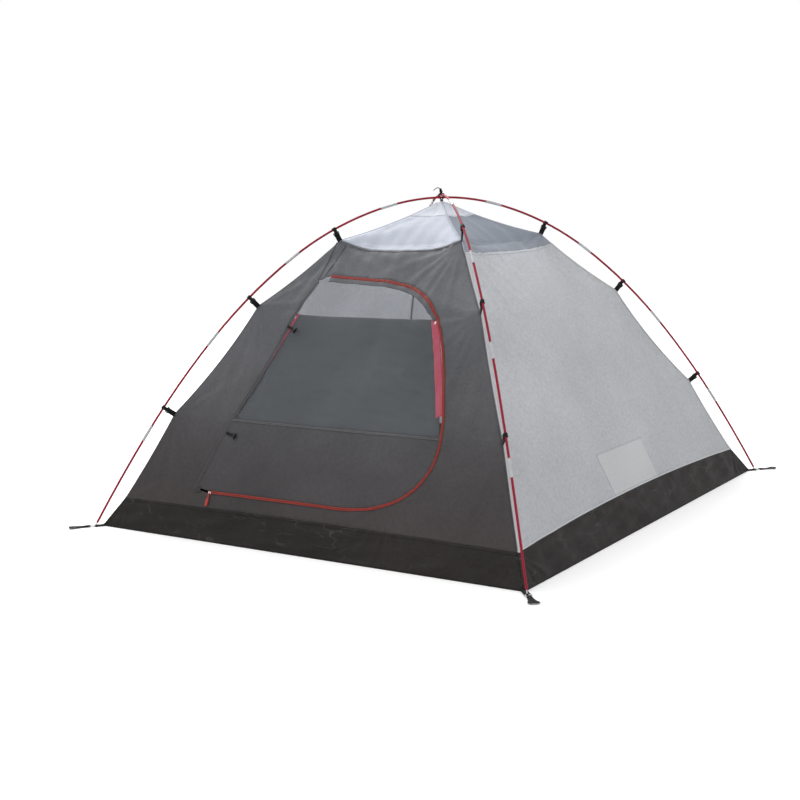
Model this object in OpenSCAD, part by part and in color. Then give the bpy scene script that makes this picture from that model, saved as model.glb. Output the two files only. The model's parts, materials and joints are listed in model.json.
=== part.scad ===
// Two-pole dome tent, the inner tent as pitched without a flysheet.
// Millimetres, +Z up, the door wall faces -Y, origin on the ground under the pole crossing.

/* [Size] */
// Distance between pole feet across the door side
feet_w = 1840; // [1400:10:2600]
// Distance between pole feet along the length
feet_d = 2100; // [1600:10:2800]
// Height of the pole crossing
crossing_h = 1203; // [900:1:1600]
// Groundsheet width
floor_w = 1800; // [1350:10:2550]

/* [Poles] */
// Outside diameter of a pole section
tube_d = 8.5; // [6:0.1:12]
// Bore of a pole section
tube_bore = 5; // [2:0.1:7]
// Length of a whole pole section
section_len = 434; // [300:1:600]
// Bend radius of the last section of a leg
leg_bend_r = 6250; // [2000:10:8000]
// Outside diameter of a ferrule
ferrule_d = 10.8; // [8:0.1:15]
// Length of a ferrule
ferrule_len = 66; // [40:1:100]
// Shock cord diameter
shock_cord_d = 2.6; // [1:0.1:4]

/* [Fabric] */
// Thickness that stands for cloth and its hem
cloth_t = 1.6; // [0.5:0.1:3]
// Distance from a pole's axis in to the ridge seam
hook_drop = 52; // [40:1:80]
// Height of the tub seam at the corners
tub_h = 98; // [60:1:200]
// How far the tub seam rises at the middle of the front
tub_rise_front = 6; // [0:1:60]
// How far the tub seam rises at the middle of a side
tub_rise_side = 24; // [0:1:60]
// Height of the inner tent's peak
peak_h = 1186; // [850:1:1190]
// How far the roof seam dips at the middle of the front
roof_dip_front = 28; // [0:1:80]
// Height of a side wall's roof seam at the ridges
roof_side_z = 1003; // [960:1:1040]
// How far the roof seam dips at the middle of a side
roof_dip_side = 9; // [0:1:80]
// Height at which the roof cap starts
cap_z = 1128; // [1060:1:1170]

/* [Door] */
// Width of one half of the door zip
zip_half_w = 4.5; // [3:0.5:10]
// Space between the two zip halves
zip_gap = 3; // [1:0.5:4]
// Height of the seam between the mesh and the lower door
door_seam_z = 408; // [300:1:600]
// Height of the lowered storm cover's top edge
cover_top_z = 785; // [500:1:880]

/* [Hooks] */
// Space between a pole and its hook
hook_clear = 0.3; // [0.1:0.1:1]
// Wall of a hook
hook_wall = 3; // [2:0.1:5]
// Width of a hook along the pole
hook_w = 14; // [6:0.5:18]
// Width of the hook strap and the corner webbing
webbing_w = 20; // [15:1:30]

/* [Hidden] */
eps = 0.3;
joined = 0.01;
seam_gap = 0.6;
ridge_gap = 5;
run = 3000;

foot_x = feet_w / 2;
foot_y = feet_d / 2;
foot_z = 14;
leg_reach = sqrt(foot_x * foot_x + foot_y * foot_y);
leg_az = atan2(foot_y, foot_x);
kx = foot_x / leg_reach;
ky = foot_y / leg_reach;
pole_lift = tube_d / 2 + 0.5;

// Tangent angle of a pole below the horizontal at the middle and at the four ferrules of a leg.
bend_at = [0, 14.9, 36.7, 49.1, 56.3];
// Tangent angle of the pole at the three hooks of a leg.
hook_at = [26.8, 43.1, 54.4];
deg = 180 / PI;

// Bend radius, start point and point by tangent angle of a leg, as [reach, height] from the crossing.
function bend_r(k) =
  k == 0 ? section_len / 2 * deg / bend_at[1] :
  k < 4 ? section_len * deg / (bend_at[k + 1] - bend_at[k]) : leg_bend_r;
function start_of(k) =
  k == 0 ? [0, 0] : along(k - 1, bend_at[k]);
function along(k, a) =
  start_of(k) + bend_r(k) * [sin(a) - sin(bend_at[k]), cos(a) - cos(bend_at[k])];
function section_of(a) =
  a < bend_at[1] ? 0 : a < bend_at[2] ? 1 : a < bend_at[3] ? 2 : a < bend_at[4] ? 3 : 4;
function leg_point(a) = along(section_of(a), a) + [0, crossing_h];
function foot_angle(lift) =
  acos(cos(bend_at[4]) - (start_of(4)[1] + crossing_h + lift - foot_z) / leg_bend_r);

// Ridge of the fabric: corner of the floor, tub seam, three hooks, peak.
function ridge_point(i) =
  leg_point(hook_at[i]) - hook_drop * [sin(hook_at[i]), cos(hook_at[i])];
floor_reach = floor_w / 2 / kx;
tub_in = 88;
ridge_knots = [
  [floor_reach, 0], [floor_reach - tub_in, tub_h],
  ridge_point(2), ridge_point(1), ridge_point(0), [0, peak_h]];
ridge_sag = [0, 4, 14, 9, 12];
ridge_steps = 4;
function knot_line(i, t) =
  let (p = ridge_knots[i], q = ridge_knots[i + 1], d = q - p)
  p + d * t + [-d[1], d[0]] / norm(d) * ridge_sag[i] * 4 * t * (1 - t);
ridge = concat(
  [for (i = [0 : 4]) for (s = [0 : ridge_steps - 1]) knot_line(i, s / ridge_steps)],
  [[0, peak_h]]);
reach_by_z = [for (p = ridge) [p[1], p[0]]];
function reach_at(z) = lookup(z, reach_by_z);
function front_y(z) = -reach_at(z) * ky;
front_tilt = 26;

// The seams' heights across a wall; u runs from -1 to 1 between the ridges.
seam_parts = 8;
function tub_seam(u, rise) = tub_h + rise * (1 - u * u);
roof_front_z = ridge_knots[4][1];
function roof_seam(u, dip, top) = top - dip * (1 - u * u);
us = [for (i = [0 : seam_parts]) -1 + 2 * i / seam_parts];

// Cloth of one wall as a band along the ridge profile, from one depth to another.
cloth_in = [0.75, -0.66];
module band(k, from, to) {
  outer = [for (p = ridge) [-p[0] * k, p[1]] + from * cloth_in];
  inner = [for (i = [len(ridge) - 1 : -1 : 0]) [-ridge[i][0] * k, ridge[i][1]] + to * cloth_in];
  rotate([90, 0, 90])
    linear_extrude(height = run, center = true)
      polygon(concat(outer, inner));
}

// Cuts a piece out of the front wall (ky) or a side wall (kx) by an outline in width and height.
module cut_out(outline) {
  rotate([90, 0, 0])
    linear_extrude(height = run, center = true)
      polygon(outline);
}

module on_side() {
  rotate([0, 0, 90])
    children();
}

// Half width of a wall at a height, and the outline between two seams.
function half_w(z, k) = reach_at(z) * (k == ky ? kx : ky) - ridge_gap;
ridge_zs = [for (p = ridge) p[1]];
function edge(k, z0, z1) =
  concat([[half_w(z0, k), z0]],
    [for (z = ridge_zs) if (z > z0 + seam_gap && z < z1 - seam_gap) [half_w(z, k), z]],
    [[half_w(z1, k), z1]]);
function flip(pts) = [for (i = [len(pts) - 1 : -1 : 0]) [-pts[i][0], pts[i][1]]];
function tub_line(k, rise, shift) =
  [for (u = us) [u * half_w(tub_h + shift, k), tub_seam(u, rise) + shift]];
function roof_line(k, dip, top, shift) =
  [for (u = us) [u * half_w(top + shift, k), roof_seam(u, dip, top) + shift]];
function wall_outline(k, rise, dip, top) =
  let (e = edge(k, tub_h + seam_gap, top - seam_gap))
  concat(tub_line(k, rise, seam_gap), e, back(roof_line(k, dip, top, -seam_gap)), flip(e));
function tub_outline(k, rise) =
  let (w = half_w(0, k))
  concat([[-w, -cloth_t], [w, -cloth_t], [w, 0]], back(tub_line(k, rise, 0)), [[-w, 0]]);
function roof_outline(k, dip, top) =
  let (e = edge(k, top, cap_z - seam_gap))
  concat(roof_line(k, dip, top, 0), e, flip(e));

module panel(k, outline) {
  intersection() {
    band(k, 0, cloth_t);
    cut_out(outline);
  }
}

// Door outline in width and height: the zip line, then the hinge line back up.
zip_line = [
  [-232, 915], [-100, 909], [40, 900], [134, 888], [198, 868], [262, 836], [306, 800],
  [334, 756], [367, 697], [416, 571], [455, 470], [473, 400], [470, 345], [453, 293],
  [416, 244], [354, 201], [259, 168], [138, 157], [-160, 157], [-455, 157]];
hinge_line = [[-530, 170], [-478, 290], [-433, 410], [-393, 514], [-352, 640], [-310, 798], [-282, 898]];
// The zip line moved outwards by a distance, away from the door.
function turn(d) = [-d[1], d[0]] / norm(d);
function moved(pts, by) =
  [for (i = [0 : len(pts) - 1])
    let (a = pts[max(i - 1, 0)], b = pts[min(i + 1, len(pts) - 1)])
    pts[i] + turn(b - a) * by];
function back(pts) = [for (i = [len(pts) - 1 : -1 : 0]) pts[i]];
half_gap = zip_gap / 2;
zip_edge = half_gap + zip_half_w;
module zip_half(side) {
  panel(ky, concat(moved(zip_line, side * half_gap), back(moved(zip_line, side * zip_edge))));
}
hinge_gap = 0.6;
low_corner = [-522, 163];
function door_outline(out, hinge_out) =
  concat(moved(zip_line, out), [low_corner - [0.6, 0.6] * out], moved(hinge_line, hinge_out));

// Storm cover edges in width and height.
cover_low = door_seam_z + 4;
cover_left = [[-406, cover_low], [-298, cover_top_z]];
cover_right = [[438, cover_low], [300, cover_top_z]];
cover_depth = 4;
module cover_layer(outline) {
  intersection() {
    band(ky, cover_depth, cover_depth + cloth_t);
    cut_out(outline);
  }
}

// ---- Poles ----
// Tube or rod bent to an arc in the plane of a leg, between two tangent angles.
module arc_tube(middle, r, from, to, d, bore) {
  translate([middle[0], 0, middle[1]])
    rotate([90, 0, 0])
      rotate([0, 0, 90 - to])
        rotate_extrude(angle = to - from, $fn = 96)
          translate([r, 0])
            difference() {
              circle(d = d, $fn = 32);
              circle(d = bore, $fn = 32);
            }
}

module bent(k, from, to) {
  r = bend_r(k);
  middle = start_of(k) + [0, crossing_h] - r * [sin(bend_at[k]), cos(bend_at[k])];
  arc_tube(middle, r, from, to, tube_d, tube_bore);
}

module at_leg(sx, sy) {
  mirror([sx < 0 ? 1 : 0, 0, 0])
    mirror([0, sy < 0 ? 1 : 0, 0])
      rotate([0, 0, leg_az])
        children();
}

function lift_of(sx, sy) = sx * sy > 0 ? -pole_lift : pole_lift;
section_end = 0.5;
function trim(k) = section_end / bend_r(k) * deg;

module leg_sections(lift) {
  translate([0, 0, lift]) {
    for (k = [1 : 3])
      bent(k, bend_at[k] + trim(k), bend_at[k + 1] - trim(k));
    bent(4, bend_at[4] + trim(4), foot_angle(lift));
  }
}

module pole_sections(sx, sy) {
  lift = lift_of(sx, sy);
  at_leg(sx, sy) {
    leg_sections(lift);
    translate([0, 0, lift])
      bent(0, -bend_at[1] + trim(0), bend_at[1] - trim(0));
  }
  at_leg(-sx, -sy)
    leg_sections(lift);
}

module pole_a_sections() {
  color("#a8342c")
    pole_sections(1, 1);
}

module pole_b_sections() {
  color("#a8342c")
    pole_sections(1, -1);
}

ferrule_bore = tube_d + 0.4;
module ferrule(k) {
  r = 2 / (1 / bend_r(k - 1) + 1 / bend_r(k));
  half = ferrule_len / 2 / r * deg;
  middle = leg_point(bend_at[k]) - r * [sin(bend_at[k]), cos(bend_at[k])];
  arc_tube(middle, r, bend_at[k] - half, bend_at[k] + half, ferrule_d, ferrule_bore);
}

module leg_ferrules(lift) {
  translate([0, 0, lift])
    for (k = [1 : 4])
      ferrule(k);
}

module pole_ferrules() {
  color("#c9c8c4")
    for (sx = [-1, 1], sy = [-1, 1])
      at_leg(sx, sy)
        leg_ferrules(lift_of(sx, sy));
}

// Tube swept along a route of points in space.
tube_sides = 8;
aside = [0.9, 0.35, 0.1];
function unit(v) = v / norm(v);
module swept(route, d) {
  n = len(route);
  m = tube_sides;
  dirs = [for (i = [0 : n - 1]) unit(route[min(i + 1, n - 1)] - route[max(i - 1, 0)])];
  polyhedron(
    points = [for (i = [0 : n - 1])
      let (a = unit(cross(dirs[i], aside)), b = cross(dirs[i], a))
      for (j = [0 : m - 1])
        route[i] + d / 2 * (a * cos(360 * j / m) + b * sin(360 * j / m))],
    faces = concat(
      [[for (j = [0 : m - 1]) j]],
      [[for (j = [m - 1 : -1 : 0]) (n - 1) * m + j]],
      [for (i = [0 : n - 2]) for (j = [0 : m - 1])
        [i * m + j, (i + 1) * m + j, (i + 1) * m + (j + 1) % m, i * m + (j + 1) % m]]));
}

// Shock cord through all nine sections of a pole, knotted short of both feet.
cord_rings = 30;
cord_top = 59.1;
module shock_cord(sx, sy) {
  half = [for (i = [1 : cord_rings]) let (p = leg_point(cord_top * i / cord_rings)) [p[0], 0, p[1]]];
  other = [for (i = [len(half) - 1 : -1 : 0]) [-half[i][0], 0, half[i][2]]];
  at_leg(sx, sy)
    translate([0, 0, lift_of(sx, sy)])
      swept(concat(other, [[0, 0, crossing_h]], half), shock_cord_d);
}

module shock_cords() {
  color("#e8e6df") {
    shock_cord(1, 1);
    shock_cord(1, -1);
  }
}

// ---- Corners ----
pin_d = tube_bore - 0.5;
pin_in = 50;
ring_wire = 4;
ring_r = 11;
ring_z = ring_wire / 2;
function foot_reach(lift) = along(4, foot_angle(lift))[0];
module corner_pin(lift) {
  a = foot_angle(lift);
  ring_x = foot_reach(lift) + (foot_z - ring_z) / tan(a);
  translate([foot_reach(lift), 0, foot_z])
    rotate([0, a - 90, 0])
      translate([0, 0, -(foot_z - ring_z) / sin(a)])
        cylinder(d = pin_d, h = pin_in + (foot_z - ring_z) / sin(a), $fn = 24);
  translate([ring_x + ring_r, 0, ring_z])
    rotate_extrude($fn = 48)
      translate([ring_r, 0])
        circle(d = ring_wire, $fn = 20);
}

module corner_pins() {
  color("#d5d6d8")
    for (sx = [-1, 1], sy = [-1, 1])
      at_leg(sx, sy)
        corner_pin(lift_of(sx, sy));
}

webbing_t = 2;
strap_from = floor_reach + 1;
strap_to = leg_reach - 4;
module corner_webbings() {
  color("#1d1d1f")
    for (sx = [-1, 1], sy = [-1, 1])
      at_leg(sx, sy)
        translate([strap_from, -webbing_w / 2, 0])
          cube([strap_to - strap_from, webbing_w, webbing_t]);
}

// Peg loop: a strap folded to a triangle, laid on the ground beyond the ring.
loop_len = 60;
loop_neck = 16;
loop_end = 48;
loop_strap = 12;
loop_slit = 6;
loop_gap = 1;
loop_out = 35;
loop_in = foot_reach(pole_lift) + loop_out;
module peg_loop(sx, sy) {
  color("#1d1d1f")
    at_leg(sx, sy)
      translate([loop_in + loop_gap, 0, 0])
        linear_extrude(height = webbing_t)
          difference() {
            polygon([
              [0, -loop_neck / 2], [loop_len, -loop_end / 2],
              [loop_len, loop_end / 2], [0, loop_neck / 2]]);
            polygon([
              [loop_neck, -loop_slit / 2], [loop_len - loop_strap, -loop_end / 2 + loop_strap],
              [loop_len - loop_strap, loop_end / 2 - loop_strap], [loop_neck, loop_slit / 2]]);
          }
}

module peg_loop_front_left() {
  peg_loop(-1, -1);
}

module peg_loop_front_right() {
  peg_loop(1, -1);
}

module peg_loop_back_left() {
  peg_loop(-1, 1);
}

module peg_loop_back_right() {
  peg_loop(1, 1);
}

// ---- Hooks ----
hook_in = tube_d / 2 + hook_clear;
hook_out = hook_in + hook_wall;
lip_h = 3;
shank_h = 13;
eye_h = 10;
eye_rim = 2;
eye_w = webbing_w + 2 * eye_rim;
eye_t = 4;
slot_h = 2.4;
slot_play = 1;
module hook_shape() {
  rotate([90, 0, 90])
    linear_extrude(height = hook_w, center = true) {
      difference() {
        circle(r = hook_out, $fn = 48);
        circle(r = hook_in, $fn = 48);
        translate([-2 * hook_out, -2 * hook_out])
          square([4 * hook_out, 2 * hook_out]);
      }
      translate([-hook_out, -lip_h])
        square([hook_wall, lip_h + joined]);
      translate([hook_in, -shank_h - hook_wall])
        square([hook_wall, shank_h + hook_wall + joined]);
      translate([-eye_t / 2, -shank_h - hook_wall])
        square([hook_in + eye_t / 2 + joined, hook_wall]);
    }
  translate([0, 0, -shank_h - eye_h / 2])
    difference() {
      cube([eye_w, eye_t, eye_h], center = true);
      translate([0, 0, -eye_h / 2 + slot_h / 2 + hook_wall])
        cube([webbing_w + slot_play, 2 * eye_t, slot_h], center = true);
    }
}

module at_hook(sx, sy, i) {
  p = leg_point(hook_at[i]);
  at_leg(sx, sy)
    translate([p[0], 0, p[1] + lift_of(sx, sy)])
      rotate([0, hook_at[i], 0])
        children();
}

module hook(sx, sy, i) {
  color("#1b1b1d")
    at_hook(sx, sy, i)
      hook_shape();
}

module hook_front_left_1() {
  hook(-1, -1, 0);
}

module hook_front_left_2() {
  hook(-1, -1, 1);
}

module hook_front_left_3() {
  hook(-1, -1, 2);
}

module hook_front_right_1() {
  hook(1, -1, 0);
}

module hook_front_right_2() {
  hook(1, -1, 1);
}

module hook_front_right_3() {
  hook(1, -1, 2);
}

module hook_back_left_1() {
  hook(-1, 1, 0);
}

module hook_back_left_2() {
  hook(-1, 1, 1);
}

module hook_back_left_3() {
  hook(-1, 1, 2);
}

module hook_back_right_1() {
  hook(1, 1, 0);
}

module hook_back_right_2() {
  hook(1, 1, 1);
}

module hook_back_right_3() {
  hook(1, 1, 2);
}

strap_gap = 0.4;
strap_top = shank_h + eye_h + strap_gap;
strap_foot = 4;
module hook_straps() {
  color("#1d1d1f")
    for (sx = [-1, 1], sy = [-1, 1], i = [0 : 2])
      at_hook(sx, sy, i) {
        low = hook_drop - strap_foot + lift_of(sx, sy) * cos(hook_at[i]);
        translate([-webbing_w / 2, -webbing_t / 2, -low])
          cube([webbing_w, webbing_t, low - strap_top]);
      }
}

// ---- Fabric ----
floor_margin = 5;
floor_t = 1.2;
module floor_sheet() {
  color("#3a3532")
    translate([-floor_w / 2 + floor_margin, -floor_reach * ky + floor_margin, 0])
      cube([floor_w - 2 * floor_margin, 2 * (floor_reach * ky - floor_margin), floor_t]);
}

module tub_front() {
  color("#322d2c")
    panel(ky, tub_outline(ky, tub_rise_front));
}

module tub_back() {
  mirror([0, 1, 0])
    tub_front();
}

module tub_right() {
  color("#322d2c")
    on_side()
      panel(kx, tub_outline(kx, tub_rise_side));
}

module tub_left() {
  mirror([1, 0, 0])
    tub_right();
}

module back_wall() {
  color("#b4b5b6")
    mirror([0, 1, 0])
      panel(ky, wall_outline(ky, tub_rise_front, roof_dip_front, roof_front_z));
}

module front_wall() {
  color("#5e5f63")
    difference() {
      panel(ky, wall_outline(ky, tub_rise_front, roof_dip_front, roof_front_z));
      cut_out(door_outline(zip_edge + eps, hinge_gap));
    }
}

module right_wall() {
  color("#b4b5b6")
    on_side()
      panel(kx, wall_outline(kx, tub_rise_side, roof_dip_side, roof_side_z));
}

module left_wall() {
  mirror([1, 0, 0])
    right_wall();
}

module roof_front() {
  color("#ccd3e0")
    panel(ky, roof_outline(ky, roof_dip_front, roof_front_z));
}

module roof_back() {
  mirror([0, 1, 0])
    roof_front();
}

module roof_right() {
  color("#8f959f")
    on_side()
      panel(kx, roof_outline(kx, roof_dip_side, roof_side_z));
}

module roof_left() {
  mirror([1, 0, 0])
    roof_right();
}

// Square patch at the peak with the tab that the tie holds.
cap_reach = reach_at(cap_z) - ridge_gap;
cap_tab_w = 16;
cap_tab_h = 4;
cap_tab_in = 1;
cap_x = cap_reach * kx;
cap_y = cap_reach * ky;
module roof_cap() {
  color("#d6dae2") {
    polyhedron(
      points = concat(
        [for (z = [cap_z, cap_z - cloth_t]) for (c = [[-1, -1], [1, -1], [1, 1], [-1, 1]])
          [c[0] * cap_x, c[1] * cap_y, z]],
        [[0, 0, peak_h], [0, 0, peak_h - cloth_t]]),
      faces = [
        [1, 0, 8], [2, 1, 8], [3, 2, 8], [0, 3, 8],
        [4, 5, 9], [5, 6, 9], [6, 7, 9], [7, 4, 9],
        [0, 1, 5, 4], [1, 2, 6, 5], [2, 3, 7, 6], [3, 0, 4, 7]]);
    translate([-cap_tab_w / 2, -webbing_t / 2, peak_h - cap_tab_in])
      cube([cap_tab_w, webbing_t, cap_tab_h]);
  }
}

// Folded tape over each ridge seam, from the tub seam to the roof seam.
bind_w = 7;
bind_t = 1.2;
bind_up = 1.8;
bind_end = 4;
function bind_side(u) = [[u - bind_w * kx, bind_w * ky]];
function bind_front(u) = [[u - bind_w * ky, -bind_w * kx]];
module ridge_tape() {
  pts = [for (p = ridge) if (p[1] > tub_h - bind_end && p[1] < roof_side_z + bind_end) p];
  n = len(pts);
  low = bind_up - bind_t;
  ring_pts = concat(
    [[bind_up, 0]], bind_side(bind_up), bind_side(low), [[low, 0]], bind_front(low), bind_front(bind_up));
  m = len(ring_pts);
  polyhedron(
    points = [for (p = pts) for (c = ring_pts) [p[0] + c[0], c[1], p[1]]],
    faces = concat(
      [[for (j = [0 : m - 1]) j]],
      [[for (j = [m - 1 : -1 : 0]) (n - 1) * m + j]],
      [for (i = [0 : n - 2]) for (j = [0 : m - 1])
        [i * m + j, (i + 1) * m + j, (i + 1) * m + (j + 1) % m, i * m + (j + 1) % m]]));
}

module ridge_bindings() {
  color("#b9bcc2")
    for (sx = [-1, 1], sy = [-1, 1])
      at_leg(sx, sy)
        ridge_tape();
}

// Pocket of mesh sewn on the inside of the right wall.
pocket_w = 400;
pocket_top = 276;
pocket_low = 128;
pocket_depth = 9;
pocket_lean = 20;
module pocket_right() {
  color("#c9cbcd")
    on_side()
      intersection() {
        band(kx, pocket_depth, pocket_depth + cloth_t);
        cut_out([
          [-pocket_w / 2, pocket_low], [pocket_w / 2, pocket_low],
          [pocket_w / 2 - pocket_lean, pocket_top], [-pocket_w / 2 - pocket_lean, pocket_top]]);
      }
}

// Ring for a lantern on a tab under the peak.
lantern_r = 14;
lantern_wire = 3;
lantern_drop = 20;
lantern_z = peak_h - lantern_drop;
lantern_tab_w = 12;
lantern_tab_h = 13;
lantern_eye_z = 4.5;
lantern_eye_d = 6;
module lantern_tab() {
  color("#1d1d1f")
    translate([-lantern_tab_w / 2, -webbing_t / 2, lantern_z])
      difference() {
        cube([lantern_tab_w, webbing_t, lantern_tab_h]);
        translate([lantern_tab_w / 2, -webbing_t / 2, lantern_eye_z])
          rotate([-90, 0, 0])
            cylinder(d = lantern_eye_d, h = 2 * webbing_t, $fn = 24);
      }
}

module lantern_ring() {
  color("#1d1d1f")
    translate([0, 0, lantern_z + lantern_eye_z - lantern_r])
      rotate([0, 90, 0])
        rotate_extrude($fn = 48)
          translate([lantern_r, 0])
            circle(d = lantern_wire, $fn = 16);
}

// ---- Door ----
module zip_wall_half() {
  color("#b3272d")
    zip_half(1);
}

module zip_door_half() {
  color("#b3272d")
    zip_half(-1);
}

module door_lower() {
  color("#4b4c50")
    intersection() {
      panel(ky, door_outline(-zip_edge - eps, -hinge_gap));
      translate([-run / 2, -run / 2, 0])
        cube([run, run, door_seam_z]);
    }
}

module door_mesh() {
  color("#8b8e93")
    intersection() {
      panel(ky, door_outline(-zip_edge - eps, -hinge_gap));
      translate([-run / 2, -run / 2, door_seam_z + seam_gap])
        cube([run, run, run]);
    }
}

module storm_cover() {
  color("#5b5c61")
    cover_layer(concat(cover_left, back(cover_right)));
}

cover_zip_w = 7;
cover_zip_gap = 1.5;
function shifted(pts, dx) = [for (p = pts) p + [dx, 0]];
module cover_zips() {
  color("#c98d8f") {
    cover_layer(concat(
      shifted(cover_left, -cover_zip_gap - cover_zip_w), back(shifted(cover_left, -cover_zip_gap))));
    cover_layer(concat(
      shifted(cover_right, cover_zip_gap), back(shifted(cover_right, cover_zip_gap + cover_zip_w))));
  }
}

// Door slider: two plates round the wall half of the zip, joined through the gap.
slider_x = -446;
slider_len = 11;
slider_plate = 1.6;
slider_w = 8;
slider_clear = 0.5;
slider_neck = 1.2;
slider_top = slider_clear + slider_plate;
slider_back = cloth_t + slider_top;
bail_y = -2.6;
bail_size = [3, 7, 3.4];
bail_bore = 2;
bail_z = bail_size[2] / 2;
zip_z = 157;
module at_zip(x) {
  translate([x, front_y(zip_z), zip_z])
    rotate([90 - front_tilt, 0, 0])
      children();
}

module slider_face(z) {
  translate([-slider_len / 2, slider_neck / 2 - slider_w, z])
    cube([slider_len, slider_w, slider_plate]);
}

module door_slider() {
  color("#c4c5c8")
    at_zip(slider_x) {
      slider_face(slider_clear);
      slider_face(-slider_back);
      translate([-slider_len / 2, -slider_neck / 2, -slider_back])
        cube([slider_len, slider_neck, slider_back + slider_top]);
      translate([0, bail_y, slider_top])
        difference() {
          translate([-bail_size[0] / 2, -bail_size[1] / 2, 0])
            cube(bail_size);
          translate([-bail_size[0], 0, bail_z])
            rotate([0, 90, 0])
              cylinder(d = bail_bore, h = 2 * bail_size[0], $fn = 24);
        }
    }
}

puller_len = 44;
puller_t = 1.5;
puller_w = 8.4;
puller_arm = 7;
puller_arm_w = 1.6;
module door_puller() {
  color("#b3272d")
    at_zip(slider_x)
      translate([0, bail_y, slider_top + bail_z]) {
        translate([-puller_w / 2, 0, 0])
          rotate([0, 90, 0])
            cylinder(d = puller_t, h = puller_w, $fn = 16);
        for (x = [-puller_w / 2, puller_w / 2 - puller_arm_w])
          translate([x, -puller_arm, -puller_t / 2])
            cube([puller_arm_w, puller_arm, puller_t]);
        translate([-puller_w / 2, -puller_arm - puller_len, -puller_t / 2])
          cube([puller_w, puller_len + joined, puller_t]);
      }
}

garage_x = -508;
garage_w = 26;
garage_h = 14;
garage_above = 4;
garage_t = 1.2;
garage_up = 0.6;
module zip_garage() {
  color("#2f2f31")
    at_zip(garage_x)
      translate([-garage_w / 2, -garage_h, garage_up])
        cube([garage_w, garage_h + garage_above, garage_t]);
}

// Storm cover sliders on the inner zips.
upper_tilt = 33;
cover_slider_z = cover_top_z - 12;
cover_slider_size = [5, 10, 2.2];
cover_slider_out = 3.6;
module cover_slider(x) {
  translate([x, front_y(cover_slider_z), cover_slider_z])
    rotate([90 - upper_tilt, 0, 0])
      translate([0, 0, -cover_depth - cloth_t - cover_slider_out])
        cube(cover_slider_size, center = true);
}

module cover_slider_left() {
  color("#e2e2e2")
    cover_slider(-307);
}

module cover_slider_right() {
  color("#e2e2e2")
    cover_slider(310);
}

// Toggles on straps that hold the rolled door back: place, wall tilt and droop.
toggle_len = 22;
toggle_d = 7;
toggle_up = 4.6;
toggle_strap = [40, 10, 1.2];
toggle_strap_up = 0.8;
toggle_from = 14;
upper_toggle = [-331, 740, 33, 24];
lower_toggle = [-449, 363, 26, 14];
module at_toggle(t) {
  translate([t[0], front_y(t[1]), t[1]])
    rotate([90 - t[2], 0, 0])
      rotate([0, 0, -t[3]])
        children();
}

module toggle_rod() {
  translate([toggle_from + toggle_strap[0] + toggle_d / 2 + eps, toggle_len / 2, toggle_up])
    rotate([90, 0, 0])
      cylinder(d = toggle_d, h = toggle_len, $fn = 24);
}

module toggle_band() {
  translate([toggle_from, -toggle_strap[1] / 2, toggle_strap_up])
    cube(toggle_strap);
}

module toggle_upper() {
  color("#232325")
    at_toggle(upper_toggle)
      toggle_rod();
}

module toggle_lower() {
  color("#232325")
    at_toggle(lower_toggle)
      toggle_rod();
}

module toggle_strap_upper() {
  color("#232325")
    at_toggle(upper_toggle)
      toggle_band();
}

module toggle_strap_lower() {
  color("#232325")
    at_toggle(lower_toggle)
      toggle_band();
}

// ---- Peak tie ----
tie_in = 11.4;
tie_t = 1.6;
tie_w = 9;
module apex_tie() {
  color("#202022")
    translate([0, tie_w / 2, crossing_h])
      rotate([90, 0, 0])
        difference() {
          cylinder(r = tie_in + tie_t, h = tie_w, $fn = 48);
          translate([0, 0, -tie_w / 2])
            cylinder(r = tie_in, h = 2 * tie_w, $fn = 48);
        }
}

tail_d = 3;
tail_low = [
  [-18, -4, 1200], [-24, -6, 1199], [-28, -9, 1193], [-30, -12, 1186], [-31, -15, 1179], [-33, -18, 1173]];
tail_high = [
  [2, -8, 1220], [2, -10, 1226], [0, -13, 1232], [-4, -16, 1236], [-10, -19, 1235], [-16, -22, 1231],
  [-21, -24, 1225]];
module apex_tails() {
  color("#202022") {
    swept(tail_low, tail_d);
    swept(tail_high, tail_d);
  }
}

floor_sheet();
tub_front();
tub_back();
tub_left();
tub_right();
front_wall();
back_wall();
left_wall();
right_wall();
roof_front();
roof_back();
roof_left();
roof_right();
roof_cap();
ridge_bindings();
pocket_right();
lantern_tab();
lantern_ring();
door_lower();
door_mesh();
storm_cover();
cover_zips();
cover_slider_left();
cover_slider_right();
zip_wall_half();
zip_door_half();
door_slider();
door_puller();
zip_garage();
toggle_upper();
toggle_lower();
toggle_strap_upper();
toggle_strap_lower();
pole_a_sections();
pole_b_sections();
pole_ferrules();
shock_cords();
corner_pins();
corner_webbings();
peg_loop_front_left();
peg_loop_front_right();
peg_loop_back_left();
peg_loop_back_right();
hook_front_left_1();
hook_front_left_2();
hook_front_left_3();
hook_front_right_1();
hook_front_right_2();
hook_front_right_3();
hook_back_left_1();
hook_back_left_2();
hook_back_left_3();
hook_back_right_1();
hook_back_right_2();
hook_back_right_3();
hook_straps();
apex_tie();
apex_tails();
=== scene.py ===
"""Two-pole dome tent: its cloth, netting, webbing, zips and finishes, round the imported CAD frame.

Metres, +Z up, the door wall faces -Y. A place on a wall is given as (across, height); the wall's
profile turns that into a point, and folds() adds the slackness and wrinkles that all the pieces
sewn into one wall share, so that seams stay shut.
"""

import math

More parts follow.
